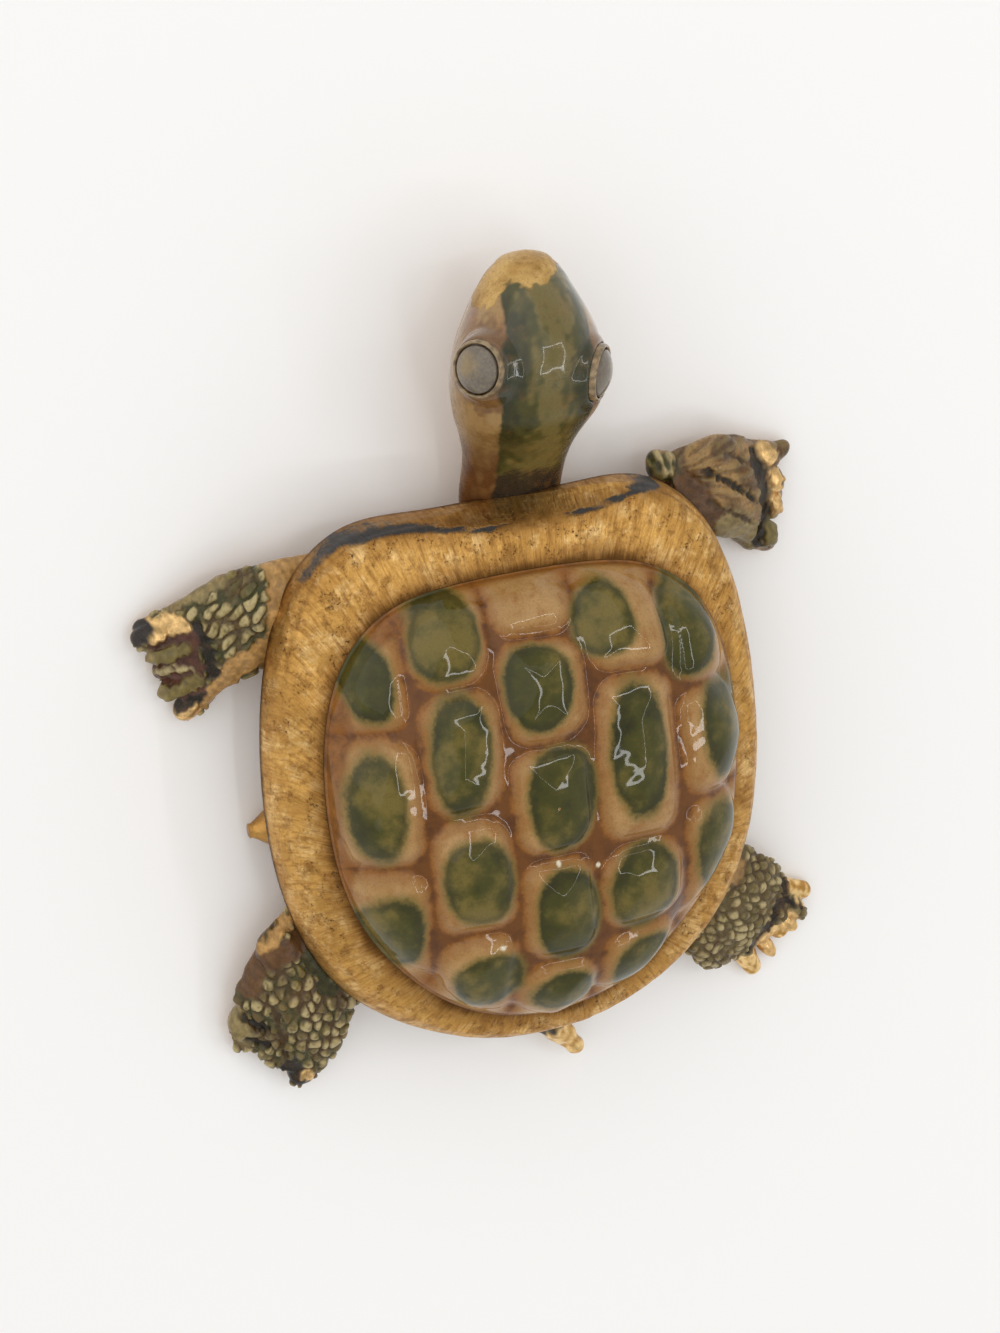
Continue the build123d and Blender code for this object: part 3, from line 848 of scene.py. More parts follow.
def pin_metal(paint):
    """Satin brass wire and sheet with a little tarnish."""
    grain = paint.noise(0.15, 42)
    tarnish = paint.ramp(paint.noise(1.5, 41, 4.0), 0.3, 0.7, 0.2, 0.9)
    return {
        "Base Color": paint.mix(tarnish, GOLD, GOLD_BROWN),
        "Metallic": 1.0,
        "Roughness": paint.ramp(grain, 0.3, 0.7, 0.25, 0.4),
        "Normal": paint.relief((grain, 0.01)),
    }


def matt_floor(_):
    """Pale matt floor."""
    return {"Base Color": FLOOR_COLOUR, "Roughness": 0.6}


# Materials by name, each from the inputs that its function gives the Principled shader
MATERIALS = {}
for dress in (shell_enamel, brushed_gold, enamelled_casting, eye_stone, pin_metal, matt_floor):
    MATERIALS[dress.__name__] = bpy.data.materials.new(dress.__name__)
    dressing = Paint(MATERIALS[dress.__name__])
    dressing.connect(dressing.tree.nodes["Principled BSDF"], dress(dressing))


def scute_edge(x, y):
    """Distance outward from the nearest scute's edge, for places about the shell's centre."""
    nearest = np.full(len(x), FAR)
    for column in SCUTE_COLUMNS:
        lines = (SCUTE_REACH, *column.cross, -SCUTE_REACH)
        off_x = beyond(x, column.left, column.right, DOME_HALF_WIDTH)
        for front, back in zip(lines, lines[1:]):
            off_y = beyond(y, back, front, DOME_FRONT)
            outside = np.hypot(np.maximum(off_x, 0), np.maximum(off_y, 0))
            inside = np.minimum(np.maximum(off_x, off_y), 0)
            nearest = np.minimum(nearest, outside + inside - SCUTE_CORNER)
    return nearest


def beyond(places, low, high, size):
    """Distance past the straight part of a scute's side, whose ends are shares of a size."""
    return np.abs(places - (low + high) / 2 * size) - ((high - low) * size - GROOVE_WIDTH) / 2 + SCUTE_CORNER


def oval_fields(x, y):
    """Distance outward from the nearest green oval's edge, and how dark that oval is."""
    nearest = np.full(len(x), FAR)
    dark = np.zeros(len(x))
    for oval in OVALS:
        share = np.abs((x - oval.x) / oval.half_width) ** OVAL_POWER
        share += np.abs((y - oval.y) / oval.half_length) ** OVAL_POWER
        distance = (share ** (1 / OVAL_POWER) - 1) * min(oval.half_width, oval.half_length)
        dark[distance < nearest] = oval.dark
        nearest = np.minimum(nearest, distance)
    return nearest, dark


def crown(reach):
    """Share of the shell's rise at a share of the way out from its top."""
    return (1 - reach**CROWN_REACH_POWER) ** CROWN_RISE_POWER


def dome_rings():
    """Rings of the shell's smooth outside from the top down, and of its inside from the foot up."""
    edge = outline(1.0, 1.0, DOME_AROUND)
    wall = outline(1.0, 1.0, DOME_AROUND, -DOME_WALL)
    outer = [level(edge, height) for height in np.linspace(RIM_BASE, GROOVE_LINE - 0.02, 8)]
    for share in np.linspace(0, 1, 12, endpoint=False):
        flare = outline(1.0, 1.0, DOME_AROUND, FOOT_FLARE * (1 - share) ** 2)
        outer.append(level(flare, GROOVE_LINE + 0.01 + FOOT_RISE * share**1.5))
    for turn in np.linspace(0.045, math.pi / 2, 190, endpoint=False):
        reach = math.cos(turn)
        outer.append(level(edge * reach, GROOVE_LINE + crown(reach) * DOME_RISE))
    inner = [level(wall, RIM_BASE)]
    for turn in np.linspace(math.pi / 2, 0, 16, endpoint=False)[::-1]:
        reach = math.cos(turn - 0.04)
        inner.append(level(wall * reach, GROOVE_LINE + crown(reach) * (DOME_RISE - DOME_WALL)))
    return np.array(outer)[::-1], np.array(inner)


def make_dome():
    """Enamel shell with pillowed scutes between sunk grooves, hollow underneath."""
    outer, inner = dome_rings()
    side = np.roll(outer, -1, axis=1) - np.roll(outer, 1, axis=1)
    normal = np.cross(np.gradient(outer, axis=0), side)
    normal /= np.linalg.norm(normal, axis=2)[:, :, None] + 1e-9
    flat = outer.reshape(-1, 3)
    x, y, height = flat[:, 0], flat[:, 1], flat[:, 2] - GROOVE_LINE
    warped = (x + SCUTE_WARP * wobble(flat, 7.0, 101), y + SCUTE_WARP * wobble(flat, 7.0, 102))
    edge = scute_edge(*warped)
    oval, dark = oval_fields(*warped)
    pillow = SCUTE_PILLOW * (1 - np.clip(-edge / SCUTE_PILLOW_REACH, 0, 1)) ** 2
    groove = GROOVE_DEPTH * smoothstep(-0.35, 0.45, edge)
    sunk = (pillow + groove + DOME_UNEVEN * wobble(flat, 2.6, 103)) * smoothstep(0.15, 1.3, height)
    moved = flat - normal.reshape(-1, 3) * sunk[:, None]
    moved[:, 0] += FOOT_SPREAD * smoothstep(5.0, 12.5, x) * (height > 0)
    rings = np.vstack([moved.reshape(outer.shape), inner]) + (SHELL_X, SHELL_Y, 0)
    mesh = mesh_of("enamel_shell", [skin(rings)])
    piece("enamel_shell", mesh, "shell_enamel", "enamel_dome")
    bare = BARE_CORNER * smoothstep(4.0, 11.0, -x) * smoothstep(-8.0, 5.0, y)
    fields = {"edge": (edge, 1.0), "oval": (oval, 5.0), "dark": (dark, 0.5), "rim": (height - bare, -1.0)}
    hole = np.min([np.hypot(x - hole_x, y - hole_y) for hole_x, hole_y in PINHOLES], axis=0)
    fields["pinhole"] = (smoothstep(PINHOLE_RADIUS, PINHOLE_RADIUS / 2, hole) * (height > 1.0), 0.0)
    for name, (values, inside) in fields.items():
        store(mesh, **{name: np.append(values, np.full(len(mesh.vertices) - len(flat), inside))})


def line_distance(places, line):
    """Distance in plan from places to a line of points."""
    nearest = np.full(len(places), FAR)
    for start, end in zip(np.array(line[:-1], float), np.array(line[1:], float)):
        way = end - start
        share = np.clip(((places - start) @ way) / (way @ way), 0, 1)
        gap = np.linalg.norm(places - start - share[:, None] * way, axis=1)
        nearest = np.minimum(nearest, gap)
    return nearest


def scoop_cut(x, y):
    """Height of the scoop's cut over the neck, at places about the shell's centre."""
    lean = math.radians(SCOOP_LEAN)
    back = (x - HEAD_OFFSET) ** 2 / (2 * SCOOP_RADIUS) - (y - RIM_FRONT) * math.cos(lean)
    return RIM_BASE + SCOOP_START + back / math.sin(lean)


def rim_rings():
    """Rings over the frame's band and down its hole, and the number of those over the band."""
    steps = ((0, 0.3, 8, False), (0.3, 0.86, 16, False), (0.86, 0.985, 18, True))
    rises = np.concatenate([np.linspace(low, high, count, endpoint=end) for low, high, count, end in steps])
    rings = []
    for rise, side, front in zip(rises, *columns(RIM_BAND, rises, "side", "front")):
        rings.append(level(outline(side, front, RIM_AROUND), RIM_BASE + rise * RIM_HEIGHT))
    hole = outline(1.0, 1.0, RIM_AROUND, DOME_FIT)
    rings += [level(hole, height) for height in np.linspace(rings[-1][0, 2], RIM_BASE, 8)]
    return np.array(rings), len(rises)


def make_rim():
    """Frame's band round the shell: convex, brushed, scooped over the neck."""
    rings, banded = rim_rings()
    outer = run_along(rings)
    inner = (outer[banded - 1] - outer).ravel()
    radius = run_along(np.vstack([rings[0], rings[0, :1]]))[-1] / (2 * math.pi)
    band = np.vstack([ellipse(UP * 0, (radius, 0, 0), (0, radius, 0), RIM_AROUND)] * len(rings))
    band[:, 2] = outer.ravel()
    flat = rings.reshape(-1, 3)
    cut = scoop_cut(flat[:, 0], flat[:, 1])
    crest = line_distance(flat[:, :2], CREST) * (1 + 1.5 * (cut < flat[:, 2]))
    crest += CREST_THINNING * smoothstep(-9.0, -11.5, flat[:, 0])
    uneven = RIM_UNEVEN * wobble(flat, 5.0, 111) + RIM_RIPPLE * wobble(flat, 1.6, 112)
    flat[:, 2] = np.minimum(flat[:, 2], np.maximum(cut, RIM_BASE + 0.05))
    above = smoothstep(0.5, 2.0, flat[:, 2] - RIM_BASE)
    flat[:, 2] += uneven * above * smoothstep(0.0, 0.6, inner)
    rings = flat.reshape(rings.shape) + (SHELL_X, SHELL_Y, 0)
    mesh = mesh_of("rim_band", [skin(rings, loop=True)])
    piece("rim_band", mesh, "brushed_gold", "shell_rim")
    attribute = mesh.attributes.new("band", "FLOAT_VECTOR", "POINT")
    attribute.data.foreach_set("vector", band.astype(np.float32).ravel())
    store(mesh, inner=np.maximum(inner, 0), outer=outer.ravel(), crest=crest)


def arc(radius, height, start, end, count):
    """Profile rows on an arc about a height on the axis, between turns in radians."""
    turn = np.linspace(start, end, count)
    return np.column_stack([radius * np.cos(turn), height + radius * np.sin(turn)])


def lathe(profile, origin, axis, around=96):
    """Closed surface of a profile of radius and height rows turned about an axis."""
    axis = Vector(axis).normalized()
    turn = axis.to_track_quat("Z", "Y").to_matrix()
    across, upward, axis = np.array(turn.col[0]), np.array(turn.col[1]), np.array(axis)
    return skin([ellipse(origin + h * axis, r * across, r * upward, around) for r, h in profile])


def rounded_profile(rows, smooth):
    """Profile with its corners rounded by averaging a fine copy of it."""
    curve = resampled(np.array(rows, float), 90)
    for _ in range(smooth):
        curve[1:-1] = (curve[:-2] + 2 * curve[1:-1] + curve[2:]) / 4
    return curve


def eye_frame(side):
    """Middle of an eye's bezel face and the way it looks, with side +1 for the right eye."""
    outward = direction(EYE_YAW, 90 - EYE_TILT) * (side, side, 1)
    middle = np.array([SHELL_X + EYE_ASIDE, SHELL_Y + RIM_FRONT + EYE_ALONG, HEAD_LIFT])
    return middle + outward * EYE_OUT, outward


def make_eyes():
    """Two cabochons in their bezels."""
    cap = (EYE_STONE_RADIUS**2 + EYE_STONE_RISE**2) / (2 * EYE_STONE_RISE)
    seat = SEAT_GAP - EYE_POCKET
    rows = [(AXIS_GAP, seat), (EYE_STONE_RADIUS, seat), (EYE_STONE_RADIUS, 0)]
    for radius in np.linspace(0.95, 0.02, 16) * EYE_STONE_RADIUS:
        rows.append((radius, math.sqrt(cap**2 - radius**2) - cap + EYE_STONE_RISE))
    for name, side in (("eye_left", -1), ("eye_right", 1)):
        place, outward = eye_frame(side)
        mesh = mesh_of(name + "_stone", [lathe(rounded_profile(rows, 4), place, outward)])
        piece(name + "_stone", mesh, "eye_stone", name)
        points = points_and_normals(mesh)[0] - place
        store(mesh, heart=np.linalg.norm(points - (0, 0.2, -0.45), axis=1) / EYE_STONE_RADIUS)


def bezel_surface(side):
    """Raised collar round an eye."""
    pocket = EYE_STONE_RADIUS + 0.08
    rows = [(AXIS_GAP, -EYE_BEZEL_LENGTH), (EYE_BEZEL_RADIUS, -EYE_BEZEL_LENGTH), (EYE_BEZEL_RADIUS, -0.6)]
    rows += [(EYE_BEZEL_RADIUS - 0.03, -0.08), (EYE_BEZEL_RADIUS - 0.14, 0.04), (pocket + 0.05, 0.02)]
    rows += [(pocket, -0.1), (pocket, -EYE_POCKET), (AXIS_GAP, -EYE_POCKET)]
    return lathe(rounded_profile(rows, 3), *eye_frame(side))


def head_surface():
    """Neck and head as one smooth surface."""
    nose = 1 - 0.028 * np.linspace(1, 0, 24) ** 2
    along = np.concatenate([np.linspace(HEAD[0].along, 0.9, 240), np.linspace(0.905, 0.97, 20), nose])
    rings = []
    for a, up, off, wide, deep in zip(along, *columns(HEAD, along, "lift", "aside", "width", "depth")):
        middle = (SHELL_X + off * HEAD_OFFSET, SHELL_Y + RIM_FRONT + a * HEAD_REACH, up * HEAD_LIFT)
        rings.append(ellipse(middle, (wide * HEAD_HALF_WIDTH, 0, 0), UP * deep * HEAD_HALF_DEPTH, 220))
    return skin(rings)


def make_head():
    """Neck and head with the green stripe, tan sides and gold nose."""
    surfaces = [head_surface(), bezel_surface(-1), bezel_surface(1)]
    mesh = mesh_of("head", surfaces)
    piece("head", mesh)
    points, normal = points_and_normals(mesh)
    loft = len(surfaces[0][0])
    shape = 0.02 * wobble(points, 3.5, 121) + 0.004 * wobble(points, 1.0, 122)
    shape[loft:] = 0
    moved = points + normal * shape[:, None]
    for side in (-1, 1):
        moved[:loft] = raised_round_eye(moved[:loft], side)
    move_points(mesh, moved)
    paint, metal, gloss = head_paint(points, normal)
    shade = 0.5 + 0.5 * smoothstep(-0.8, 0.8, wobble(points, 0.5, 133))
    paint[loft:] = (np.array(COLLAR_GOLD) * shade[:, None])[loft:]
    metal[loft:] = COLLAR_METAL
    gloss[loft:] = COLLAR_GLOSS
    store(mesh, paint=paint, metal=metal, gloss=gloss)


def raised_round_eye(points, side):
    """Head surface raised up to just under an eye's bezel."""
    place, outward = eye_frame(side)
    offset = points - place
    height = offset @ outward
    reach = np.linalg.norm(offset - height[:, None] * outward, axis=1)
    fade = 1 - smoothstep(MOUND_START, MOUND_END, reach)
    rise = np.maximum(-MOUND_LEVEL - height, 0) * fade * (height > -MOUND_END)
    floor = -MOUND_LEVEL - MOUND_SUNK
    rise = np.where((reach < EYE_BEZEL_RADIUS) & (height > floor), floor - height, rise)
    return points + rise[:, None] * outward


def head_paint(points, normal):
    """Colours, bare metal and gloss of the head."""
    along = (points[:, 1] - SHELL_Y - RIM_FRONT) / HEAD_REACH
    x = points[:, 0] - SHELL_X
    broad = wobble(points, 2.5, 131)
    fine = wobble(points, 0.6, 132)
    streaks = wobble(points * (1.0, 0.3, 1.0), 0.9, 134)
    left, right = columns(STRIPE, along, "left", "right")
    inside = np.minimum(x - left, right - x) + 0.03 * fine + 0.05 * broad
    stripe = smoothstep(-0.08, 0.08, inside) * smoothstep(-0.1, 0.15, normal[:, 2])
    middle = np.abs(x - (left + right) / 2 - 0.2) / 2.3
    tone = middle * 1.3 - 0.55 + 0.30 * streaks + 0.25 * broad + 0.12 * fine
    green = laid(
        HEAD_OLIVE,
        (HEAD_GREEN, tone, -0.35, 0.35, 1.0),
        (HEAD_DARK, tone, 0.3, 1.1, 1.0),
        (HEAD_SAND, along, 0.32, 0.24, 0.4 * smoothstep(0.0, 1.0, broad + 0.5)),
        # Painted shadow on the neck where it runs in under the frame
        (NECK_SHADOW, along + 0.025 * broad + 0.01 * fine, 0.12, 0.07, 1.0),
    )
    tan = laid(
        CHEEK_TAN,
        (CHEEK_BROWN, broad + 0.4 * fine, -0.3, 1.2, 1.0),
        # Painted brown shade on the sides of the neck towards the frame
        (NECK_SHADE, along + 0.04 * broad, 0.38, 0.14, 0.75 + 0.25 * smoothstep(-0.9, 0.6, streaks)),
        (SNOUT_BROWN, along, 0.70, 0.78, 0.6 * smoothstep(-0.4, 0.6, broad)),
    )
    # Painted shade round each eye's collar
    for side in (-1, 1):
        place, outward = eye_frame(side)
        distance = np.linalg.norm(points - (place - outward), axis=1) + 0.25 * fine + 0.2 * broad
        tan = laid(tan, (SOCKET_SHADE_BROWN, distance, 2.9, 2.1, 0.8))
        green = laid(green, (SOCKET_SHADE_GREEN, distance, 2.9, 2.1, 0.8))
    cap = smoothstep(-0.006, 0.006, along - columns(CAP, x, "along")[0] + 0.006 * fine)
    gold = laid(NOSE_GOLD, (NOSE_BROWN, broad + 0.35 * fine, -1.2, 1.5, 1.0))
    under = smoothstep(-0.2, -0.5, normal[:, 2])
    paint = blend(blend(blend(tan, green, stripe), gold, cap), GOLD_DEEP, under)
    metal = np.maximum(cap, under)
    gloss = 0.5 + 0.4 * smoothstep(0.40, 0.60, along)
    return paint, metal, gloss * (1 - metal)


def leg_point(leg, share):
    """Place on the resting plane under a share of the way along a leg's axis."""
    root_y = leg.root_along * (RIM_FRONT if leg.root_along > 0 else RIM_BACK)
    root = np.array([SHELL_X + leg.root_across * RIM_HALF_WIDTH, SHELL_Y + root_y, 0])
    ahead = direction(leg.bearing)
    swing = 4 * share * (1 - share) * leg.bow
    return root + (ahead * share * leg.reach + np.cross(UP, ahead) * swing) * LEG_REACH


def leg_surface(leg):
    """Leg and paw from the root inside the plate to the toes."""
    along = np.linspace(0, 1, 60)
    sizes = columns(LEG_SECTIONS[leg.kind], along, "width", "depth", "lift")
    rings = []
    for share, wide, deep, lift in zip(along, *sizes):
        aside = np.cross(direction(leg.root_face + (leg.toe_face - leg.root_face) * share), UP)
        middle = leg_point(leg, share) + UP * lift * LEG_ROOT_HEIGHT
        rings.append(ellipse(middle, aside * wide * LEG_HALF_WIDTH, UP * deep * LEG_HALF_DEPTH, 64))
    return skin(rings)


def claw_frames(leg):
    """Root and heading of a leg's three claws."""
    toes = LEG_SECTIONS[leg.kind][-2]
    middle = leg_point(leg, toes.along) + UP * CLAW_HEIGHT
    across = np.cross(UP, direction(leg.toe_face)) * (toes.width * LEG_HALF_WIDTH - CLAW_RADIUS)
    frames = []
    for share in (-1, 0, 1):
        ahead = direction(leg.toe_face + CLAW_SPREAD * share) - UP * math.sin(math.radians(CLAW_DROP))
        frames.append((middle + across * share, ahead / np.linalg.norm(ahead)))
    return frames


def rod(start, end, start_radius, end_radius):
    """Round-ended tapering rod from start to end."""
    length = np.linalg.norm(end - start)
    near = arc(start_radius, 0, 0.05 - math.pi / 2, 0, 8)
    return lathe(np.vstack([near, arc(end_radius, length, 0, 1.52, 8)]), start, end - start, 24)


def remeshed(name, surfaces):
    """One skin round overlapping closed surfaces, smoothed like a casting."""
    rough = linked(name + "_rough", mesh_of(name + "_rough", surfaces))
    remesh = rough.modifiers.new("remesh", "REMESH")
    remesh.mode = "VOXEL"
    remesh.voxel_size = LEG_VOXEL * MM
    remesh.use_smooth_shade = True
    soften = rough.modifiers.new("soften", "SMOOTH")
    soften.factor = 0.5
    soften.iterations = LEG_SMOOTHING
    bpy.context.view_layer.update()
    graph = bpy.context.evaluated_depsgraph_get()
    mesh = bpy.data.meshes.new_from_object(rough.evaluated_get(graph))
    mesh.name = name
    bpy.data.objects.remove(rough)
    return mesh


def spread_centres(points, spacing, seed):
    """Points picked at random that stay a spacing apart."""
    random = np.random.default_rng(seed)
    picked = np.empty((0, 3))
    for candidate in points[random.permutation(len(points))[:9000]]:
        if not len(picked) or np.min(((picked - candidate) ** 2).sum(1)) > spacing**2:
            picked = np.vstack([picked, candidate])
    return picked


def scale_field(points, centres):
    """Distances to the nearest and the second nearest centre, and the nearest one's number."""
    tree = kdtree.KDTree(len(centres))
    for i, centre in enumerate(centres):
        tree.insert(centre, i)
    tree.balance()
    pairs = [tree.find_n(point, 2) for point in points]
    first, second = (np.array([pair[k][2] for pair in pairs]) for k in (0, 1))
    return first, second, np.array([pair[0][1] for pair in pairs])


def lump_surface(lump):
    """Ellipsoid as a closed surface."""
    ahead = direction(lump.heading)
    aside = np.cross(UP, ahead) * lump.wide
    rings = []
    for turn in np.linspace(-1.45, 1.45, 20):
        middle = lump[:3] + ahead * lump.long * math.sin(turn)
        rings.append(ellipse(middle, aside * math.cos(turn), UP * lump.high * math.cos(turn), 32))
    return skin(rings)


def claw_share(points, leg):
    """How far each point lies on one of a leg's claws, 0 to 1."""
    share = np.zeros(len(points))
    for root, ahead in claw_frames(leg):
        line = ahead * leg.claw * CLAW_LENGTH
        run = ((points - root) @ line) / (line @ line)
        off = np.linalg.norm(points - root - run[:, None] * line, axis=1)
        edge = smoothstep(0.1, 0.35, run + 0.1 * wobble(points, 0.8, 141))
        share = np.maximum(share, edge * (off < CLAW_RADIUS + 0.3) * (run < 2.0))
    return share


def leg_surfaces(leg):
    """Overlapping closed surfaces that make up a leg with its toes and claws."""
    surfaces = [leg_surface(leg)] + [lump_surface(lump) for lump in LEG_LUMPS[leg.name]]
    for root, ahead in claw_frames(leg):
        back, front = root - ahead * KNUCKLE_BACK, root + ahead * KNUCKLE_AHEAD
        surfaces.append(rod(back, front, KNUCKLE_RADIUS, KNUCKLE_END_RADIUS))
        surfaces.append(rod(root, root + ahead * leg.claw * CLAW_LENGTH, CLAW_RADIUS, CLAW_TIP_RADIUS))
    return surfaces


def leg_scales(points, upper, leg, finish):
    """Height share of the cast scales at each point, and a random tint for the scale it lies on."""
    ahead = direction(leg.bearing + SCALE_TURN)
    squeezed = points - (1 - 1 / finish.stretch) * (points @ ahead)[:, None] * ahead
    squeezed = squeezed + 0.10 * np.column_stack([wobble(points, 1.3, 145 + k) for k in range(3)])
    centres = spread_centres(squeezed[upper], finish.spacing * SCALE_PACKING, finish.seed)
    first, second, owner = scale_field(squeezed, centres)
    random = np.random.default_rng(finish.seed)
    size = random.uniform(0.42, 0.66, len(centres))[owner] * finish.spacing
    tint = random.uniform(0, 1, len(centres))[owner]
    bead = np.sqrt(np.clip(1 - (first / size / 1.1) ** 2, 0, 1))
    return bead * smoothstep(0.0, 0.22, second - first), tint


def leg_folds(points, leg):
    """Skin folds that fan out from where a leg leaves the frame."""
    away = points[:, :2] - leg_point(leg, 0.0)[:2] - FOLD_CENTRE
    turn = np.arctan2(away[:, 1], away[:, 0])
    fold = np.sin(FOLDS_AROUND[0] * turn + 0.8 * wobble(points, 2.6, 147))
    fold += 0.5 * np.sin(FOLDS_AROUND[1] * turn + wobble(points, 1.8, 155))
    return fold * smoothstep(1.0, 3.0, np.linalg.norm(away, axis=1))


def make_leg(leg, finish):
    """Leg with toes and claws in one skin, with cast scales or folds and painted marks."""
    mesh = remeshed(leg.name, leg_surfaces(leg))
    points, normal = points_and_normals(mesh)
    facing_up = smoothstep(-0.1, 0.3, normal[:, 2])
    claw = claw_share(points, leg) * finish.bare_claws
    scales, tint = leg_scales(points, normal[:, 2] > 0.05, leg, finish)
    folds = leg_folds(points, leg) * finish.folds
    plain = np.clip(claw + (finish.folds > 0), 0, 1)
    broad = wobble(points, 2.2, 144 + finish.seed)
    fine = wobble(points, 0.5, 149)
    grain = wobble(points, 0.28, 154)
    light = laid(
        SCALE_LIGHT,
        (SCALE_OLIVE, 0.95 * tint + 0.35 * broad + 0.25 * fine + 0.2 * grain, 0.0, 1.0, 1.0),
        (finish.ground, tint, 0.62, 0.95, 0.6),
    )
    tone = laid(
        finish.ground,
        (finish.shade, broad, -0.4, 0.9, 1.0),
        (SKIN_OLIVE, fine + 0.5 * broad, 0.2, 1.4, 0.35),
        (SKIN_OLIVE, folds / FOLD_DEPTH + 0.3 * grain, 0.0, 0.9, 0.45),
        (LEG_BROWN, -folds / FOLD_DEPTH + 0.3 * grain, 0.1, 1.1, 0.5 * (finish.folds > 0)),
    )
    tone = blend(tone, laid(GOLD_LIGHT, (GOLD_DEEP, fine + broad, -0.6, 1.3, 1.0)), claw)
    metal = claw.copy()
    height = folds * (1 - claw)
    edge = 0.09 * fine + 0.10 * wobble(points, 1.1, 148)
    shade = 0.65 + 0.3 * smoothstep(-1.0, 1.0, wobble(points, 0.7, 150)) + 0.3 * smoothstep(-0.8, 0.8, fine)
    for mark in LEG_MARKS[leg.name]:
        away = line_distance(points[:, :2], mark.line) + edge
        share = smoothstep(mark.reach + 0.12, mark.reach - 0.14, away)
        tone = blend(tone, np.array(mark.colour) * shade[:, None], share)
        height = height * (1 - share) + mark.height * share
        metal = metal * (1 - share) + mark.metal * share
        plain = np.maximum(plain, share)
    worn = 0.45 + 0.55 * smoothstep(-1.3, -0.2, wobble(points, 1.8, 153))
    raised = scales * (1 - plain) * facing_up * worn
    under = smoothstep(-0.15, -0.4, normal[:, 2])
    paint = blend(tone, light, smoothstep(0.2, 0.9, raised + 0.1 * grain))
    paint = laid(paint, (LEG_BLACK, grain + fine, 0.3, 1.6, 0.25 * (1 - metal)))
    paint = blend(paint, GOLD_DEEP, under * (1 - claw))
    shape = finish.relief * raised + height * facing_up + 0.04 * wobble(points, 1.2, 143) * (1 - 0.6 * claw)
    move_points(mesh, points + normal * shape[:, None])
    metal = np.maximum(metal, under)
    store(mesh, paint=paint, metal=metal, gloss=LEG_GLOSS * (1 - metal))
    piece(leg.name, mesh)


def make_plate():
    """Back plate of the casting."""
    bottom = PLATE_TOP - PLATE_THICKNESS
    rows = [(-6.0, bottom + 0.25), (-3.0, bottom + 0.1), (-0.6, bottom), (-0.2, bottom + 0.08)]
    rows += [(0.0, bottom + 0.3), (0.0, PLATE_TOP - 0.15), (-0.15, PLATE_TOP)]
    rings = np.array([level(outline(0.0, 0.0, 300, grow - PLATE_INSET), height) for grow, height in rows])
    mesh = mesh_of("back_plate", [skin(rings + (SHELL_X, SHELL_Y, 0))])
    piece("back_plate", mesh)
    count = len(mesh.vertices)
    store(mesh, paint=np.tile(GOLD_DEEP, (count, 1)), metal=np.ones(count), gloss=np.zeros(count))


def make_tail():
    """Short pointed tail."""
    start = (SHELL_X + TAIL_OFFSET, SHELL_Y - RIM_BACK + TAIL_ROOT_INSIDE, PLATE_TOP - TAIL_RADIUS)
    ahead = direction(TAIL_HEADING, -TAIL_DROP)
    share = np.linspace(0, 1, 40)
    radius = TAIL_RADIUS + (TAIL_TIP_RADIUS - TAIL_RADIUS) * share**1.1
    tip = arc(TAIL_TIP_RADIUS, TAIL_LENGTH, 0.1, 1.5, 12)
    profile = np.vstack([(AXIS_GAP, 0.0), np.column_stack([radius, share * TAIL_LENGTH]), tip])
    mesh = mesh_of("tail", [lathe(profile, start, ahead, 72)])
    piece("tail", mesh)
    points, normal = points_and_normals(mesh)
    move_points(mesh, points + normal * 0.10 * wobble(points, 1.3, 151)[:, None])
    along = (points - start) @ ahead / TAIL_LENGTH
    dark = smoothstep(0.55, 0.40, along + 0.08 * wobble(points, 0.9, 152))
    gold = laid(GOLD_LIGHT, (GOLD_DEEP, wobble(points, 0.8, 155), -0.8, 1.2, 1.0))
    store(mesh, paint=blend(gold, TAIL_DARK, dark), metal=1 - dark, gloss=np.full(len(points), TAIL_GLOSS))


def rounded_box(low, high, corner):
    """Box with rounded edges, as a surface."""
    low, size = np.array(low), np.subtract(high, low)
    unit = ellipse(UP * 0, (1, 0, 0), (0, 1, 0), 64)[:, :2]
    unit = np.sign(unit) * np.abs(unit) ** BOX_POWER
    rows = [(corner, 0.0), (corner * 0.3, corner * 0.3), (0.0, corner)]
    rows += [(inset, size[2] - height) for inset, height in rows[::-1]]
    middle = (low + size / 2)[:2]
    return skin([level(middle + unit * (size[:2] / 2 - inset), low[2] + height) for inset, height in rows])


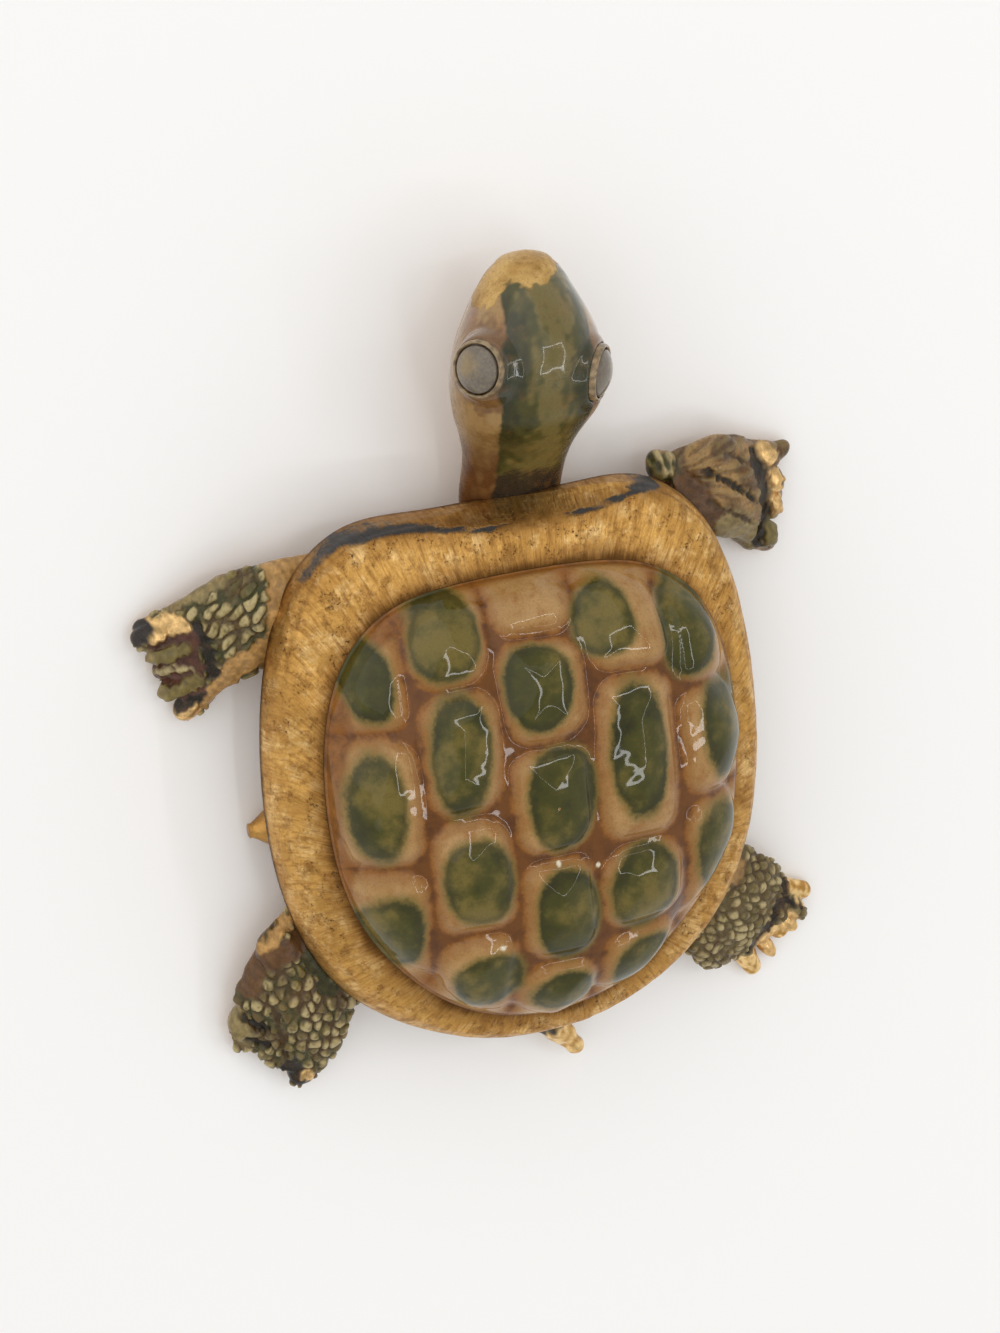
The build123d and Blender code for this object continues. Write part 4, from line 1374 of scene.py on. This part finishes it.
def make_pin():
    """Pin finding: hinge block, stem and tapered catch in one plain piece."""
    y = SHELL_Y + PIN_ALONG
    top = PLATE_TOP - PLATE_THICKNESS - SEAT_GAP
    start = SHELL_X + PIN_CATCH_END
    place = (start, y, PIN_AXIS_HEIGHT)
    catch_end = PIN_CATCH_TAPER + PIN_CATCH_LENGTH
    turns = np.linspace(0.05, 1.5, 10)
    catch = [(PIN_CATCH_TIP_RADIUS * math.sin(t), PIN_CATCH_NOSE * (1 - math.cos(t))) for t in turns]
    catch += [(PIN_CATCH_RADIUS, PIN_CATCH_TAPER), (PIN_CATCH_RADIUS, catch_end), (0.05, catch_end)]
    stem_end = PIN_HINGE_END - PIN_CATCH_END - 0.2
    stem = [(AXIS_GAP, 0.0), (PIN_WIRE_RADIUS, 0.0), (PIN_WIRE_RADIUS, stem_end), (AXIS_GAP, stem_end)]
    pad_low = (start + PIN_CATCH_TAPER, y - PIN_CATCH_TIP_RADIUS, PIN_AXIS_HEIGHT)
    pad_high = (start + catch_end, y + PIN_CATCH_TIP_RADIUS, top)
    end = SHELL_X + PIN_HINGE_END
    block_low = (end - PIN_HINGE_LENGTH, y - PIN_HINGE_WIDTH / 2, PIN_AXIS_HEIGHT - PIN_CATCH_RADIUS)
    surfaces = [
        lathe(rounded_profile(catch, 3), place, (1, 0, 0), 48),
        lathe(stem, place, (1, 0, 0), 32),
        rounded_box(pad_low, pad_high, PIN_PAD_CORNER),
        rounded_box(block_low, (end, y + PIN_HINGE_WIDTH / 2, top), PIN_BLOCK_CORNER),
    ]
    piece("pin_finding", mesh_of("pin_finding", surfaces), "pin_metal", "pin_back")


def make_camera():
    """Camera at the photograph's angle and framing."""
    roll = math.radians(CAMERA_ROLL)
    back = Vector(direction(CAMERA_AZIMUTH - 90, CAMERA_ELEVATION))
    flat = Vector(UP).cross(back).normalized()
    right = flat * math.cos(roll) + back.cross(flat) * math.sin(roll)
    turn = Matrix((right, back.cross(right), back)).transposed().to_4x4()
    data = bpy.data.cameras.new("camera")
    camera = linked("camera", data)
    camera.matrix_world = Matrix.Translation((Vector(CAMERA_TARGET) + back * CAMERA_DISTANCE) * MM) @ turn
    data.sensor_width = SENSOR
    data.lens = FOCAL_PIXELS / PHOTO_HEIGHT * SENSOR
    data.shift_x = (PHOTO_WIDTH / 2 - TARGET_PIXEL[0]) / PHOTO_HEIGHT
    data.shift_y = (TARGET_PIXEL[1] - PHOTO_HEIGHT / 2) / PHOTO_HEIGHT
    data.clip_start = CAMERA_NEAR * MM
    data.clip_end = CAMERA_FAR * MM
    bpy.context.scene.camera = camera


def area_light(name, place, turn, size_x, size_y, power):
    """Rectangular light at a place in millimetres, turned by a matrix."""
    data = bpy.data.lights.new(name, "AREA")
    data.shape = "RECTANGLE"
    data.size = size_x * MM
    data.size_y = size_y * MM
    data.energy = power
    linked(name, data).matrix_world = Matrix.Translation(place * MM) @ turn.to_4x4()


def make_lights():
    """Ring lamp of four bars and a soft light."""
    middle = Vector(CAMERA_TARGET)
    way = Vector(LAMP_DIRECTION).normalized()
    turn = (-way).to_track_quat("-Z", "Y").to_matrix()
    length = 2 * LAMP_HALF_SIZE + LAMP_BAR
    for number, (across, along) in enumerate(((1, 0), (-1, 0), (0, 1), (0, -1))):
        place = middle + way * LAMP_DISTANCE + turn @ Vector((across, along, 0)) * LAMP_HALF_SIZE
        size = (LAMP_BAR, length) if across else (length, LAMP_BAR)
        area_light(f"lamp_{number}", place, turn, *size, LAMP_POWER)
    soft = middle + Vector(SOFT_DIRECTION).normalized() * SOFT_DISTANCE
    turn = (middle - soft).to_track_quat("-Z", "Y").to_matrix()
    area_light("soft_light", soft, turn, SOFT_SIZE, SOFT_SIZE, SOFT_POWER)


def make_world():
    """Pale surroundings, dimmer towards the top."""
    world = bpy.data.worlds.new("studio")
    paint = Paint(world, "Generated")
    rise = paint.node("SeparateXYZ", {0: paint.place}, "Z")
    strength = paint.node("MapRange", {"Value": rise, "To Min": WORLD_LOW, "To Max": WORLD_HIGH})
    paint.connect(paint.tree.nodes["Background"], {"Color": WORLD_COLOUR, "Strength": strength})
    bpy.context.scene.world = world
    bpy.context.scene.view_settings.view_transform = "Standard"


def make_floor():
    """Wide plain floor under the feet."""
    corners = np.array([(x * FLOOR_HALF, y * FLOOR_HALF, 0) for x, y in ((-1, -1), (1, -1), (1, 1), (-1, 1))])
    floor = linked("floor", mesh_of("floor", [(corners, [[0, 1, 2, 3]])]))
    floor.data.materials.append(MATERIALS["matt_floor"])


make_camera()
make_lights()
make_world()
make_floor()
make_dome()
make_rim()
make_head()
make_eyes()
for leg, finish in zip(LEGS, LEG_FINISH):
    make_leg(leg, finish)
make_plate()
make_tail()
make_pin()
